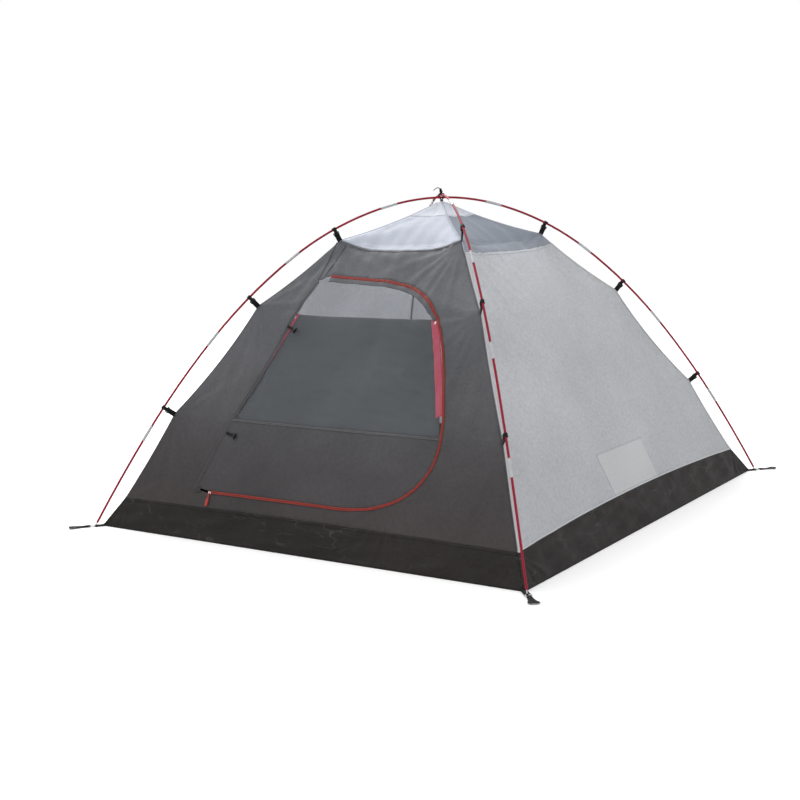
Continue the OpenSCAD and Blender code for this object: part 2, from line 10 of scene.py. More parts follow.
import bpy
import numpy as np
from mathutils import Matrix, Vector
from mathutils.geometry import delaunay_2d_cdt
from mathutils.kdtree import KDTree
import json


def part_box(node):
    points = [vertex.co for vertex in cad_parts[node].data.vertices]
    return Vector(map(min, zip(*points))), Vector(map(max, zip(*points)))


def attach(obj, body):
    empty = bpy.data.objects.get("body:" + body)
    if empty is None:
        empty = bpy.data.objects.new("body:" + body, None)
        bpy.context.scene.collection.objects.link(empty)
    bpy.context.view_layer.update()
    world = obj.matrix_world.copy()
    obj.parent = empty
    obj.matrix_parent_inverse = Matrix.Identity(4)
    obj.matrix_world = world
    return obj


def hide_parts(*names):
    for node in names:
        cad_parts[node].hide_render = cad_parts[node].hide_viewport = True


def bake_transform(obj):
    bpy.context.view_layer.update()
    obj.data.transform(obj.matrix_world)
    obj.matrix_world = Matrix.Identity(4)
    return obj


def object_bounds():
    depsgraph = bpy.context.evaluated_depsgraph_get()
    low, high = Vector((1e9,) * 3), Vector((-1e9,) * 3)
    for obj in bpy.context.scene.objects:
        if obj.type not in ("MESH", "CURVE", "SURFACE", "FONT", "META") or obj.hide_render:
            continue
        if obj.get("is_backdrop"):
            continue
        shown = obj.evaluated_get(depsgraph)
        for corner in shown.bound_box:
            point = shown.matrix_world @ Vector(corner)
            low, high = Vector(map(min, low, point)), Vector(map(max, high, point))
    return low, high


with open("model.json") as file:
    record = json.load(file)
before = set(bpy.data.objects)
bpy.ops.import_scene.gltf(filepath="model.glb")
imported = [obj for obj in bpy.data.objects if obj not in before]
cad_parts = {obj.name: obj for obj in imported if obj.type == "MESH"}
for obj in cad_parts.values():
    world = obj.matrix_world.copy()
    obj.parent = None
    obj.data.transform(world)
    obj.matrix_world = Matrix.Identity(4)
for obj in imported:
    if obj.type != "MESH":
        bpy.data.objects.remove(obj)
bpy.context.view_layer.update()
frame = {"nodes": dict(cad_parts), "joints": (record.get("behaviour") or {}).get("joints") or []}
scene = bpy.context.scene
MM = 0.001


# ---- Camera ----
def make_camera():
    data = bpy.data.cameras.new("camera")
    data.sensor_width = 36.0
    data.lens = 61.89
    camera = bpy.data.objects.new("camera", data)
    scene.collection.objects.link(camera)
    camera.matrix_world = Matrix((
        (0.8377, -0.0642, 0.5423, 2.8378),
        (0.5456, 0.1401, -0.8263, -4.6543),
        (-0.0229, 0.9881, 0.1523, 1.2382),
        (0.0, 0.0, 0.0, 1.0),
    ))
    scene.camera = camera


make_camera()

# ---- Tubes and straps ----
def piece(name, verts, faces, material, body="tent", uv=None, shade=True):
    """A mesh that rides on a body. With body None it is left unattached, and the caller may join or attach
    it.
    """
    mesh = bpy.data.meshes.new(name)
    mesh.from_pydata([tuple(v) for v in np.asarray(verts, float).tolist()], [], [tuple(f) for f in faces])
    if material:
        mesh.materials.append(material)
    if uv is not None:
        layer = mesh.uv_layers.new(name="cloth")
        index = np.zeros(len(mesh.loops), np.int32)
        mesh.loops.foreach_get("vertex_index", index)
        layer.data.foreach_set("uv", np.asarray(uv, np.float32)[index].ravel())
    if shade:
        mesh.shade_smooth()
    mesh.update()
    made = bpy.data.objects.new(name, mesh)
    scene.collection.objects.link(made)
    if body:
        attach(made, body)
    return made


def distance_along(line):
    return np.concatenate([[0], np.cumsum(np.linalg.norm(np.diff(line, axis=0), axis=1))])


def unit(rows):
    return rows / np.maximum(np.linalg.norm(rows, axis=1), 1e-9)[:, None]


def resample(line, step, closed=False):
    line = np.asarray(line, float)
    if closed:
        line = np.vstack([line, line[:1]])
    along = distance_along(line)
    n = max(2, int(math.ceil(along[-1] / step)) + 1)
    at = np.linspace(0, along[-1], n)
    made = np.stack([np.interp(at, along, line[:, k]) for k in range(line.shape[1])], axis=1)
    return made[:-1] if closed else made


def rounded(line, step=8 * MM, passes=24, closed=False):
    """A line resampled and smoothed, with its ends kept."""
    made = resample(line, step, closed)
    for _ in range(passes):
        if closed:
            made = (np.roll(made, 1, 0) + 2 * made + np.roll(made, -1, 0)) / 4
        else:
            made[1:-1] = (made[:-2] + 2 * made[1:-1] + made[2:]) / 4
    return made


def tube(name, points, radius, material, body="tent", sides=10, flat=1.0, closed=False,
         up=(0, 0, 1), shape=None):
    """A tube or strap along points. flat squeezes it along its own up direction; shape gives its section."""
    points = np.asarray(points, float)
    n = len(points)
    d = unit(np.roll(points, -1, 0) - np.roll(points, 1, 0) if closed else np.gradient(points, axis=0))
    ups = np.zeros((n, 3)) + np.asarray(up, float)
    side = unit(np.cross(ups, d))
    ups = np.cross(d, side)
    if shape is None:
        t = np.arange(sides) * math.tau / sides
        shape = np.stack([np.cos(t), np.sin(t) * flat], axis=1) * radius
    shape = np.asarray(shape, float)
    m = len(shape)
    around = shape[None, :, 0:1] * side[:, None, :] + shape[None, :, 1:2] * ups[:, None, :]
    verts = (points[:, None, :] + around).reshape(-1, 3)
    faces = [
        (i % n * m + j, i % n * m + (j + 1) % m, (i + 1) % n * m + (j + 1) % m, (i + 1) % n * m + j)
        for i in range(n if closed else n - 1) for j in range(m)]
    if not closed:
        faces += [tuple(range(m))[::-1], tuple((n - 1) * m + j for j in range(m))]
    length = distance_along(points)
    uv = np.stack([np.repeat(length, m), np.tile(np.arange(m) * radius if radius else np.arange(m), n)],
                  axis=1)
    return piece(name, verts, faces, material, body, uv=uv)


def flat_section(width, thickness, rim=0.35):
    """Section of a strap with rounded edges, wide along its side."""
    w, t = width / 2, thickness / 2
    return [(-w, 0), (-w + t * rim, -t), (-w * 0.5, -t), (0, -t), (w * 0.5, -t), (w - t * rim, -t), (w, 0),
            (w - t * rim, t), (w * 0.5, t), (0, t), (-w * 0.5, t), (-w + t * rim, t)]


def on_edge(width, thickness):
    """Section of a strap that is wide along its up direction."""
    return np.array(flat_section(width, thickness))[:, ::-1]


def arc(x, y, wide, high, first, last, count):
    """Points of an ellipse about (x, y), from one angle to another."""
    return [(x + wide * math.cos(b), y + high * math.sin(b)) for b in np.linspace(first, last, count)]


# ---- The two free ends of the tie at the peak ----
TAIL_D = 3 * MM
TAIL_LOW = [(-18, -4, 1200), (-24, -6, 1199), (-28, -9, 1193), (-30, -12, 1186), (-31, -15, 1179),
            (-33, -18, 1173)]
TAIL_HIGH = [(2, -8, 1220), (2, -10, 1226), (0, -13, 1232), (-4, -16, 1236), (-10, -19, 1235),
             (-16, -22, 1231), (-21, -24, 1225)]
cord_cover = bpy.data.materials.new("webbing_black")


def tail(name, route):
    line = rounded(np.array(route) * MM, 1.5 * MM, 3)
    made = tube(name, line, TAIL_D / 2, cord_cover, sides=12, up=(0.3, 1, 0.2))
    return made


tie_tail_low = tail("tie_tail_low", TAIL_LOW)
tail("tie_tail_high", TAIL_HIGH)
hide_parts("apex_tails")


# ---- Profile of the walls, from the design's own numbers ----
FEET_W, FEET_D, CROSSING, FLOOR_W = 1.840, 2.100, 1.203, 1.800
SECTION, LEG_R, HOOK_DROP, TUB_H, PEAK, CAP_Z = 0.434, 6.25, 0.052, 0.098, 1.186, 1.128
BEND_AT = [math.radians(a) for a in (0, 14.9, 36.7, 49.1, 56.3)]
HOOK_AT = [math.radians(a) for a in (26.8, 43.1, 54.4)]
RIDGE_SAG = [0, 4 * MM, 14 * MM, 9 * MM, 12 * MM]
TUB_RISE = {"front": 6 * MM, "back": 6 * MM, "left": 24 * MM, "right": 24 * MM}
ROOF_DIP = {"front": 28 * MM, "back": 28 * MM, "left": 9 * MM, "right": 9 * MM}
POLE_LIFT = 4.75 * MM
LEG = math.hypot(FEET_W, FEET_D) / 2
KX, KY = FEET_W / 2 / LEG, FEET_D / 2 / LEG


def bend_radius(k):
    if k == 0:
        return SECTION / 2 / BEND_AT[1]
    return SECTION / (BEND_AT[k + 1] - BEND_AT[k]) if k < 4 else LEG_R


def along_leg(k, a):
    s, r = ((0, 0) if k == 0 else along_leg(k - 1, BEND_AT[k])), bend_radius(k)
    return s[0] + r * (math.sin(a) - math.sin(BEND_AT[k])), s[1] + r * (math.cos(a) - math.cos(BEND_AT[k]))


def leg_point(a):
    k = max(i for i in range(5) if a >= BEND_AT[i])
    r, z = along_leg(k, a)
    return r, z + CROSSING


def ridge_point(a):
    r, z = leg_point(a)
    return r - HOOK_DROP * math.sin(a), z - HOOK_DROP * math.cos(a)


FLOOR_REACH = FLOOR_W / 2 / KX
KNOTS = [(FLOOR_REACH, 0), (FLOOR_REACH - 0.088, TUB_H), ridge_point(HOOK_AT[2]), ridge_point(HOOK_AT[1]),
         ridge_point(HOOK_AT[0]), (0, PEAK)]
ROOF_Z = {"front": KNOTS[4][1], "back": KNOTS[4][1], "left": 1.003, "right": 1.003}
profile_z, profile_r = [], []
for i, sag in enumerate(RIDGE_SAG):
    p, q = np.array(KNOTS[i]), np.array(KNOTS[i + 1])
    d = q - p
    for t in np.linspace(0, 1, 13)[: 12 if i < 4 else 13]:
        spot = p + d * t + np.array([-d[1], d[0]]) / np.linalg.norm(d) * sag * 4 * t * (1 - t)
        profile_r.append(spot[0])
        profile_z.append(spot[1])
profile_z, profile_r = np.array(profile_z), np.array(profile_r)

# The same profile with its bends smoothed, for the cloth between the ridges.
even_z = np.linspace(0, PEAK, 400)
even_r = np.interp(even_z, profile_z, profile_r)
SOFT_STEPS, SOFT_WIDTH = 60, 0.045
weight = np.exp(-0.5 * (np.arange(-SOFT_STEPS, SOFT_STEPS + 1) * (even_z[1] - even_z[0]) / SOFT_WIDTH) ** 2)
soft_r = np.convolve(np.pad(even_r, SOFT_STEPS, mode="edge"), weight / weight.sum(), mode="valid")


def reach(z):
    """How far the ridges are from the middle at a height."""
    return np.interp(z, profile_z, profile_r)


def slope(z, step=6 * MM):
    return (reach(z + step) - reach(z - step)) / (np.minimum(z + step, PEAK) - np.maximum(z - step, 0))


# How a wall lies: outward direction, direction across it, share of the reach outward, share across.
WALLS = {
    "front": ((0, -1, 0), (1, 0, 0), KY, KX),
    "right": ((1, 0, 0), (0, 1, 0), KX, KY),
    "back": ((0, 1, 0), (1, 0, 0), KY, KX),
    "left": ((-1, 0, 0), (0, 1, 0), KX, KY),
}
SEED = {"front": 3, "right": 11, "back": 23, "left": 37}


def wall_normal(wall, z):
    outward, _, k, _ = WALLS[wall]
    fall = -slope(z) * k
    long = np.sqrt(1 + fall * fall)
    return np.outer(1 / long, outward) + np.outer(fall / long, (0, 0, 1))


def place(wall, a, z, out=0.0):
    """Points of a wall: a across it, z up, out along its normal."""
    a, z = np.atleast_1d(np.asarray(a, float)), np.atleast_1d(np.asarray(z, float))
    outward, across, k, _ = WALLS[wall]
    flat = np.outer(reach(z) * k, outward) + np.outer(a, across) + np.outer(z, (0, 0, 1))
    return flat + wall_normal(wall, z) * (np.zeros(len(a)) + out)[:, None]


def smooth(t):
    t = np.clip(t, 0, 1)
    return t * t * (3 - 2 * t)


def waves(a, z, seed, length, count=6):
    """Smooth unevenness of about that wavelength, between about -1 and 1."""
    r = np.random.default_rng(seed)
    total = 0
    for _ in range(count):
        angle, phase = r.uniform(0, math.tau, 2)
        f = math.tau / (length * r.uniform(0.7, 1.5))
        total = total + np.sin(f * (a * math.cos(angle) + z * math.sin(angle)) + phase)
    return total / math.sqrt(count)


def fan(a, z, ha, hz, count, far, seed):
    """Folds that fan out from a point where the cloth is pulled."""
    r, phi = np.hypot(a - ha, z - hz), np.arctan2(z - hz, a - ha)
    line = np.sin(count * phi + seed) + 0.6 * np.sin(1.63 * count * phi + 2.1 * seed)
    sharp = np.sign(line) * np.abs(line) ** 0.8
    return sharp * smooth(r / 0.10) * np.exp(-r / far)


ZIP_LINE = np.array([
    (-232, 915), (-100, 909), (40, 900), (134, 888), (198, 868), (262, 836), (306, 800),
    (334, 756), (367, 697), (416, 571), (455, 470), (473, 400), (470, 345), (453, 293),
    (416, 244), (354, 201), (259, 168), (138, 157), (-160, 157), (-455, 157)]) * MM
HINGE_LINE = np.array([
    (-522, 163), (-478, 290), (-433, 410), (-393, 514), (-352, 640), (-310, 798), (-282, 898)]) * MM


def folds(wall, a, z):
    """How far the cloth of a wall stands out of its plane, the same for every piece sewn into it."""
    a, z = np.asarray(a, float), np.asarray(z, float)
    half = np.maximum(reach(z) * WALLS[wall][3], 1e-6)
    seed = SEED[wall]
    light = wall in ("left", "right")
    out = 2.6 * MM * waves(a, z, seed, 0.50) + 0.8 * MM * waves(a, z, seed + 1, 0.17)
    out = out + 1.1 * MM * waves(a * 2.2, z * 0.35, seed + 2, 0.16) * smooth((z - 0.25) / 0.4)
    for side in (-1, 1):
        for n, (kr, kz) in enumerate(KNOTS[1:5]):
            size = (3.0 if light else 2.2) * MM * (0.6 if n == 0 else 1)
            out = out + size * fan(a, z, side * kr * WALLS[wall][3], kz, 13 + 2 * n, 0.23,
                                   seed + side * n * 1.7)
    if wall == "front":
        out = out + 2.2 * MM * fan(a, z, 0.33, 0.20, 17, 0.16, 4.0) * smooth((0.32 - z) / 0.12)
    out = out - 5 * MM * (1 - (a / half) ** 2) * smooth((z - TUB_H) / 0.3)
    # Between the ridges the cloth passes the hooks' heights in a soft curve.
    soft = (np.interp(z, even_z, soft_r) - reach(z)) * WALLS[wall][2]
    soft = soft * smooth((half - np.abs(a)) / 0.16)
    out = out + soft * smooth((z - TUB_H) / 0.12) * smooth((PEAK - z) / 0.09)
    tub = smooth((0.13 - z) / 0.03)
    out = out + tub * (1.5 * MM * waves(a * 0.45, z * 2.0, seed + 5, 0.09)
                       + 0.5 * MM * waves(a * 0.35, z * 1.8, seed + 6, 0.05))
    return out * smooth((half - np.abs(a)) / 0.05) * smooth(z / 0.02)


def skin(wall, a, z, lift=0.0):
    return place(wall, a, z, folds(wall, a, z) + lift)


# ---- Mesh helpers ----
def thicken(made, thickness, offset=0.0):
    solid = made.modifiers.new("thickness", "SOLIDIFY")
    solid.thickness = thickness
    solid.offset = offset
    return made


def sideways(line):
    """Unit vectors to the left of a line in (across, height)."""
    d = unit(np.gradient(line, axis=0))
    return np.stack([-d[:, 1], d[:, 0]], axis=1)


def moved(line, by):
    return line + sideways(line) * by


def inside(points, loop):
    x, y = points[:, 0], points[:, 1]
    hit = np.zeros(len(points), bool)
    for (x0, y0), (x1, y1) in zip(loop, np.roll(loop, -1, axis=0)):
        if y0 != y1:
            hit ^= ((y0 > y) != (y1 > y)) & (x < (x1 - x0) * (y - y0) / (y1 - y0) + x0)
    return hit


EVEN_ROWS = 0.866


def fill(outline, holes=(), step=10 * MM):
    """Points and even triangles of a cut of cloth, in (across, height)."""
    loops = [resample(loop, step, closed=True) for loop in (outline, *holes)]
    points, edges = [], []
    for loop in loops:
        first = len(points)
        points += loop.tolist()
        edges += [(first + i, first + (i + 1) % len(loop)) for i in range(len(loop))]
    low, high = loops[0].min(0), loops[0].max(0)
    rows = np.arange(low[1] + step, high[1], step * EVEN_ROWS)
    grid = []
    for i, row in enumerate(rows):
        across = np.arange(low[0] + (i % 2) * step / 2, high[0], step)
        grid.append(np.stack([across, np.full_like(across, row)], axis=1))
    grid = np.vstack(grid)
    keep = inside(grid, loops[0])
    for hole in loops[1:]:
        keep &= ~inside(grid, hole)
    grid = grid[keep]
    tree = KDTree(len(points))
    for i, p in enumerate(points):
        tree.insert((p[0], p[1], 0), i)
    tree.balance()
    grid = [g for g in grid.tolist() if tree.find((g[0], g[1], 0))[2] > 0.55 * step]
    points += grid
    found = delaunay_2d_cdt([Vector(p) for p in points], edges, [], 0, 1e-7)
    spots = np.array([tuple(v) for v in found[0]])
    faces = np.array([f for f in found[2] if len(f) == 3])
    middle = spots[faces].mean(axis=1)
    keep = inside(middle, loops[0])
    for hole in loops[1:]:
        keep &= ~inside(middle, hole)
    a, b, c = (spots[faces[:, i]] for i in range(3))
    ab, ac = b - a, c - a
    turn = ab[:, 0] * ac[:, 1] - ab[:, 1] * ac[:, 0]
    keep &= np.abs(turn) > 1e-10
    faces[turn < 0] = faces[turn < 0][:, ::-1]
    faces = faces[keep]
    used, index = np.unique(faces, return_inverse=True)
    return spots[used], index.reshape(-1, 3)


def facing(wall, faces):
    return [tuple(f[::-1]) for f in faces] if wall in ("back", "left") else [tuple(f) for f in faces]


def panel(name, wall, outline, material, holes=(), step=10 * MM, lift=0.0, thickness=0.7 * MM,
          body="tent", extra=None):
    """One cut of cloth sewn into a wall. Returns the piece and its flat area."""
    spots, faces = fill(outline, holes, step)
    depth = folds(wall, spots[:, 0], spots[:, 1]) + lift
    if extra is not None:
        depth = depth + extra(spots[:, 0], spots[:, 1])
    verts = place(wall, spots[:, 0], spots[:, 1], depth)
    made = piece(name, verts, facing(wall, faces), material, body, uv=spots)
    if thickness:
        thicken(made, thickness)
    a, b, c = (verts[faces[:, i]] for i in range(3))
    return made, float(np.linalg.norm(np.cross(b - a, c - a), axis=1).sum() / 2)


def band(name, wall, line, w0, w1, lift, material, slot=None, body="tent", thickness=0.6 * MM, columns=4,
         step=7 * MM, crown=0.0, edge_lift=0.0):
    """A strip of tape along a line on a wall, from one distance to its left to another."""
    line = resample(line, step)
    side = sideways(line)
    offsets = np.linspace(w0, w1, columns)
    verts, uv = [], []
    along = distance_along(line)
    for k, w in enumerate(offsets):
        t = k / (columns - 1) * 2 - 1
        spot = line + side * w
        verts.append(skin(wall, spot[:, 0], spot[:, 1], lift + crown * (1 - t * t) + edge_lift))
        uv.append(np.stack([along, np.full(len(line), w)], axis=1))
    n = len(line)
    verts, uv = np.vstack(verts), np.vstack(uv)
    faces = [
        (k * n + i, k * n + i + 1, (k + 1) * n + i + 1, (k + 1) * n + i)
        for k in range(columns - 1) for i in range(n - 1)]
    if w1 < w0:
        faces = [f[::-1] for f in faces]
    made = piece(name, verts, facing(wall, faces), material, body, uv=uv)
    if thickness:
        thicken(made, thickness, offset=1.0)
    return made


def join(name, pieces):
    """Joins pieces with the same modifiers and body into one."""
    first = pieces[0]
    with bpy.context.temp_override(
        active_object=first, object=first, selected_objects=pieces, selected_editable_objects=pieces
    ):
        bpy.ops.object.join()
    first.name = name
    first.data.name = name
    return first


def frames_along(points, normals, pitch, start=0.0):
    """Even spots along a line in space: origins, directions, normals and sides."""
    along = distance_along(points)
    at = np.arange(start, along[-1], pitch)

    def read(rows, where):
        return np.stack([np.interp(where, along, rows[:, k]) for k in range(3)], axis=1)

    origin, up = read(points, at), read(normals, at)
    ahead = unit(read(points, at + 1 * MM) - read(points, at - 1 * MM))
    side = unit(np.cross(up, ahead))
    up = np.cross(ahead, side)
    return origin, ahead, side, up


def copies(shape, faces, frames):
    """Many copies of a small shape, one at each frame: ahead, side and up are its axes."""
    origin, ahead, side, up = frames
    shape = np.array(shape)
    verts = (
        origin[:, None, :] + shape[None, :, 0:1] * ahead[:, None, :]
        + shape[None, :, 1:2] * side[:, None, :] + shape[None, :, 2:3] * up[:, None, :])
    n, m = len(origin), len(shape)
    all_faces = [tuple(j + i * m for j in f) for i in range(n) for f in faces]
    return verts.reshape(-1, 3), all_faces


STITCH = [(-1, 0, -0.4), (-0.45, -1, 0), (-0.45, 0, 1), (-0.45, 1, 0), (0.45, -1, 0), (0.45, 0, 1),
          (0.45, 1, 0), (1, 0, -0.4)]
STITCH_FACES = [(0, 1, 2), (0, 2, 3), (1, 4, 5, 2), (2, 5, 6, 3), (4, 7, 5), (5, 7, 6), (0, 3, 1),
                (1, 3, 6, 4), (4, 6, 7)]


def stitch_rows(name, rows, material, body="tent", pitch=5.5 * MM, long=3.6 * MM, thick=0.75 * MM):
    """Rows of stitches. A row is its points in space and the normals there."""
    verts, faces = [], []
    total = 0
    for points, normals in rows:
        shape = np.array(STITCH) * (long / 2, thick / 2, thick / 2)
        v, f = copies(shape, STITCH_FACES, frames_along(points, normals, pitch, pitch / 2))
        verts.append(v)
        faces += [tuple(i + total for i in g) for g in f]
        total += len(v)
    return piece(name, np.vstack(verts), faces, material, body)


def row_on(wall, line, by=0.0, lift=0.0):
    """A stitch row on a wall beside a line."""
    line = resample(line, 6 * MM)
    spot = moved(line, by)
    return skin(wall, spot[:, 0], spot[:, 1], lift), wall_normal(wall, spot[:, 1])


# ---- Materials ----
RIB_SCALE = 0.314


class Nodes:
    """A node tree that starts empty. add() makes a node, and sets or links its sockets."""

    def __init__(self, owner):
        owner.use_nodes = True
        self.tree = owner.node_tree
        self.tree.nodes.clear()

    def add(self, kind, sockets=None, **settings):
        node = self.tree.nodes.new(kind)
        for key, value in settings.items():
            setattr(node, key, value)
        for key, value in (sockets or {}).items():
            if isinstance(value, bpy.types.NodeSocket):
                self.tree.links.new(value, node.inputs[key])
            else:
                node.inputs[key].default_value = value
        return node

    def math(self, kind, a, b):
        return self.add("ShaderNodeMath", {0: a, 1: b}, operation=kind).outputs[0]


class Tree(Nodes):
    def __init__(self, name, made=None):
        self.material = made or bpy.data.materials.new(name)
        super().__init__(self.material)
        self.output = self.add("ShaderNodeOutputMaterial")

    def noise(self, where, scale, detail=3.0, rough=0.5, stretch=(1, 1, 1)):
        if stretch != (1, 1, 1):
            where = self.add("ShaderNodeMapping", {"Vector": where, "Scale": stretch}).outputs[0]
        return self.add("ShaderNodeTexNoise",
                        {"Vector": where, "Scale": scale, "Detail": detail, "Roughness": rough}).outputs[0]

    def ribs(self, uv, pitch, distortion, direction, **more):
        """Even ribs across a direction, at a pitch in metres."""
        sockets = {"Vector": uv, "Scale": RIB_SCALE / pitch, "Distortion": distortion, "Detail": 1.0, **more}
        return self.add("ShaderNodeTexWave", sockets, bands_direction=direction).outputs[1]

    def remap(self, value, low, high, to_low, to_high):
        return self.add("ShaderNodeMapRange", {0: value, 1: low, 2: high, 3: to_low, 4: to_high}).outputs[0]

    def blend(self, factor, a, b, kind="MIX"):
        node = self.add("ShaderNodeMix", data_type="RGBA", blend_type=kind)
        for socket, value in zip((node.inputs[0], node.inputs[6], node.inputs[7]), (factor, a, b)):
            if isinstance(value, bpy.types.NodeSocket):
                self.tree.links.new(value, socket)
            else:
                socket.default_value = value
        return node.outputs[2]

    def bump(self, height, strength, distance, normal=None):
        sockets = {"Height": height, "Strength": strength, "Distance": distance}
        if normal is not None:
            sockets["Normal"] = normal
        return self.add("ShaderNodeBump", sockets).outputs[0]

    def finish(self, shader):
        self.tree.links.new(shader, self.output.inputs[0])
        return self.material


def fabric(name, low, high=None, rough=0.62, through=0.0, sheen=0.15, thread=0.9 * MM, mottle=0.10,
           crease=0.5, see=0.0, level=0.35, lines=None, grain=0.0, pull=(1, 1, 0.6)):
    """Woven cloth: threads, soft mottling, creases, and light that comes through it.

    low and high are the colours near the ground and near the peak; the change from low to high is painted
    shade, the cloth coloured darker low down and lighter towards the peak where more light falls on it.
    """
    t = Tree(name)
    low, high = (*low, 1), (*(high or low), 1)
    at = t.add("ShaderNodeTexCoord")
    uv, spot = at.outputs["UV"], at.outputs["Object"]
    height = t.add("ShaderNodeSeparateXYZ", {0: spot}).outputs[2]
    up = t.add("ShaderNodeMapRange", {0: height, 1: 0.08, 2: 0.95},
               interpolation_type="SMOOTHSTEP").outputs[0]
    # Painted shade: the colour runs from low near the ground to high near the peak, darker below and lighter
    # above, as the light falls.
    colour = t.blend(up, low, high)
    broad = t.remap(t.noise(spot, 2.6, 3, 0.55), 0.3, 0.7, 1 - mottle, 1 + mottle)
    speck = mottle * (0.5 + grain)
    fine = t.remap(t.noise(spot, 90.0, 2, 0.6), 0.3, 0.7, 1 - speck, 1 + speck)
    both = t.math("MULTIPLY", broad, fine)
    shade = t.add("ShaderNodeCombineColor", {0: both, 1: both, 2: both}).outputs[0]
    colour = t.blend(1.0, colour, shade, "MULTIPLY")
    warp, weft = (t.ribs(uv, thread, 0.6, way, **{"Detail Scale": 0.4}) for way in "XY")
    weave = t.math("MULTIPLY", warp, weft)
    if see:
        weave = t.add("ShaderNodeTexVoronoi", {"Vector": spot, "Scale": 0.9 / thread},
                      feature="DISTANCE_TO_EDGE").outputs[0]
        weave = t.remap(weave, 0.03, 0.22, 0.0, 1.0)
    colour = t.blend(t.remap(weave, 0, 1, 0.0, 0.16), colour, (0.0, 0.0, 0.0, 1))
    if lines:
        shape = t.add("ShaderNodeMapping",
                      {"Vector": spot, "Scale": (5, 5, 22), "Rotation": (0.06, 0.04, 0.0)}).outputs[0]
        streak = t.math("ABSOLUTE", t.math("SUBTRACT", t.noise(shape, 1.0, 2, 0.5), 0.5), 0.0)
        patch = t.remap(t.noise(spot, 7.0, 4, 0.6), 0.44, 0.66, 0.0, 1.0)
        mark = t.math("MULTIPLY", t.remap(streak, 0.0, 0.012, 1.0, 0.0), patch)
        colour = t.blend(t.math("MULTIPLY", mark, 0.4), colour, (*lines, 1))
    wrinkle = t.noise(spot, 16.0, 4, 0.55, pull)
    normal = t.bump(wrinkle, crease, 2.5 * MM)
    normal = t.bump(weave, 0.25, 0.15 * MM, normal)
    shine = t.remap(t.noise(spot, 30.0, 3, 0.5), 0.2, 0.8, rough - 0.08, rough + 0.08)
    body = t.add("ShaderNodeBsdfPrincipled", {
        "Base Color": colour, "Roughness": shine, "Normal": normal, "Sheen Weight": sheen,
        "Sheen Roughness": 0.4, "Specular IOR Level": level}).outputs[0]
    if through:
        glow = t.add("ShaderNodeBsdfTranslucent", {"Color": colour, "Normal": normal}).outputs[0]
        body = t.add("ShaderNodeMixShader", {0: through, 1: body, 2: glow}).outputs[0]
    if see:
        clear = t.add("ShaderNodeBsdfTransparent").outputs[0]
        holes = t.remap(weave, 0.0, 1.0, max(see - 0.2, 0.0), see + 0.08)
        body = t.add("ShaderNodeMixShader", {0: holes, 1: body, 2: clear}).outputs[0]
    return t.finish(body)


def lighter(colour, times, more):
    return tuple(min(1.0, c * times + more) for c in colour[:3]) + (1,)


def plastic(name, colour, rough, metal=0.0, scale=60.0, dents=0.12, stripe=None, coat=0.0, level=0.5):
    """Moulded plastic, painted rod or metal: fine unevenness, worn patches, and a second tone in places."""
    t = Tree(name)
    colour = (*colour, 1)
    spot = t.add("ShaderNodeTexCoord").outputs["Object"]
    worn = t.remap(t.noise(spot, scale, 4, 0.6), 0.45, 0.75, 0.0, 1.0)
    tone = t.blend(t.math("MULTIPLY", worn, 0.5), colour, lighter(colour, 1.35, 0.01))
    if stripe:
        tone = t.blend(t.remap(t.noise(spot, 6.0, 2, 0.5), 0.4, 0.6, 0.0, 1.0), tone, (*stripe, 1))
    grain = t.noise(spot, scale * 14, 3, 0.6)
    shine = t.remap(grain, 0.2, 0.8, rough - 0.06, rough + 0.1)
    normal = t.bump(grain, dents, 0.15 * MM)
    return t.finish(t.add("ShaderNodeBsdfPrincipled", {
        "Base Color": tone, "Metallic": metal, "Roughness": shine, "Normal": normal, "Coat Weight": coat,
        "Coat Roughness": 0.15, "Specular IOR Level": level}).outputs[0])


def webbing_material(name, colour, rib=2.2 * MM, rough=0.7, level=0.3, rib_highlight=0.6, made=None):
    """Woven strap: ribs across it and a herringbone along it, with the crests of the ribs painted lighter as
    a painted highlight.
    """
    t = Tree(name, made)
    colour = (*colour, 1)
    at = t.add("ShaderNodeTexCoord")
    uv, spot = at.outputs["UV"], at.outputs["Object"]
    both = t.math("MULTIPLY", t.ribs(uv, rib, 0.4, "X"), t.ribs(uv, rib * 0.7, 0.4, "DIAGONAL"))
    fuzz = t.noise(spot, 400.0, 3, 0.6)
    # Painted highlight: the colour is lightened on the crests of the ribs.
    tone = t.blend(t.math("MULTIPLY", both, rib_highlight), colour, lighter(colour, 1.9, 0.006))
    tone = t.blend(t.remap(fuzz, 0.55, 0.8, 0.0, 0.35), tone, lighter(colour, 2.4, 0.015))
    normal = t.bump(both, 0.6, 0.4 * MM)
    return t.finish(t.add("ShaderNodeBsdfPrincipled", {
        "Base Color": tone, "Roughness": rough, "Normal": normal, "Sheen Weight": 0.1,
        "Specular IOR Level": level}).outputs[0])


# Looks that several cloths share.
CLOTH = {"rough": 0.65, "sheen": 0.05, "level": 0.2}
ROOF = {"rough": 0.65, "through": 0.3, "mottle": 0.03, "crease": 0.2, "level": 0.2}
NET = {"rough": 0.7, "mottle": 0.05, "thread": 1.6 * MM, "level": 0.2}
TAPE = {"rough": 0.6, "thread": 0.7 * MM, "crease": 0.15}

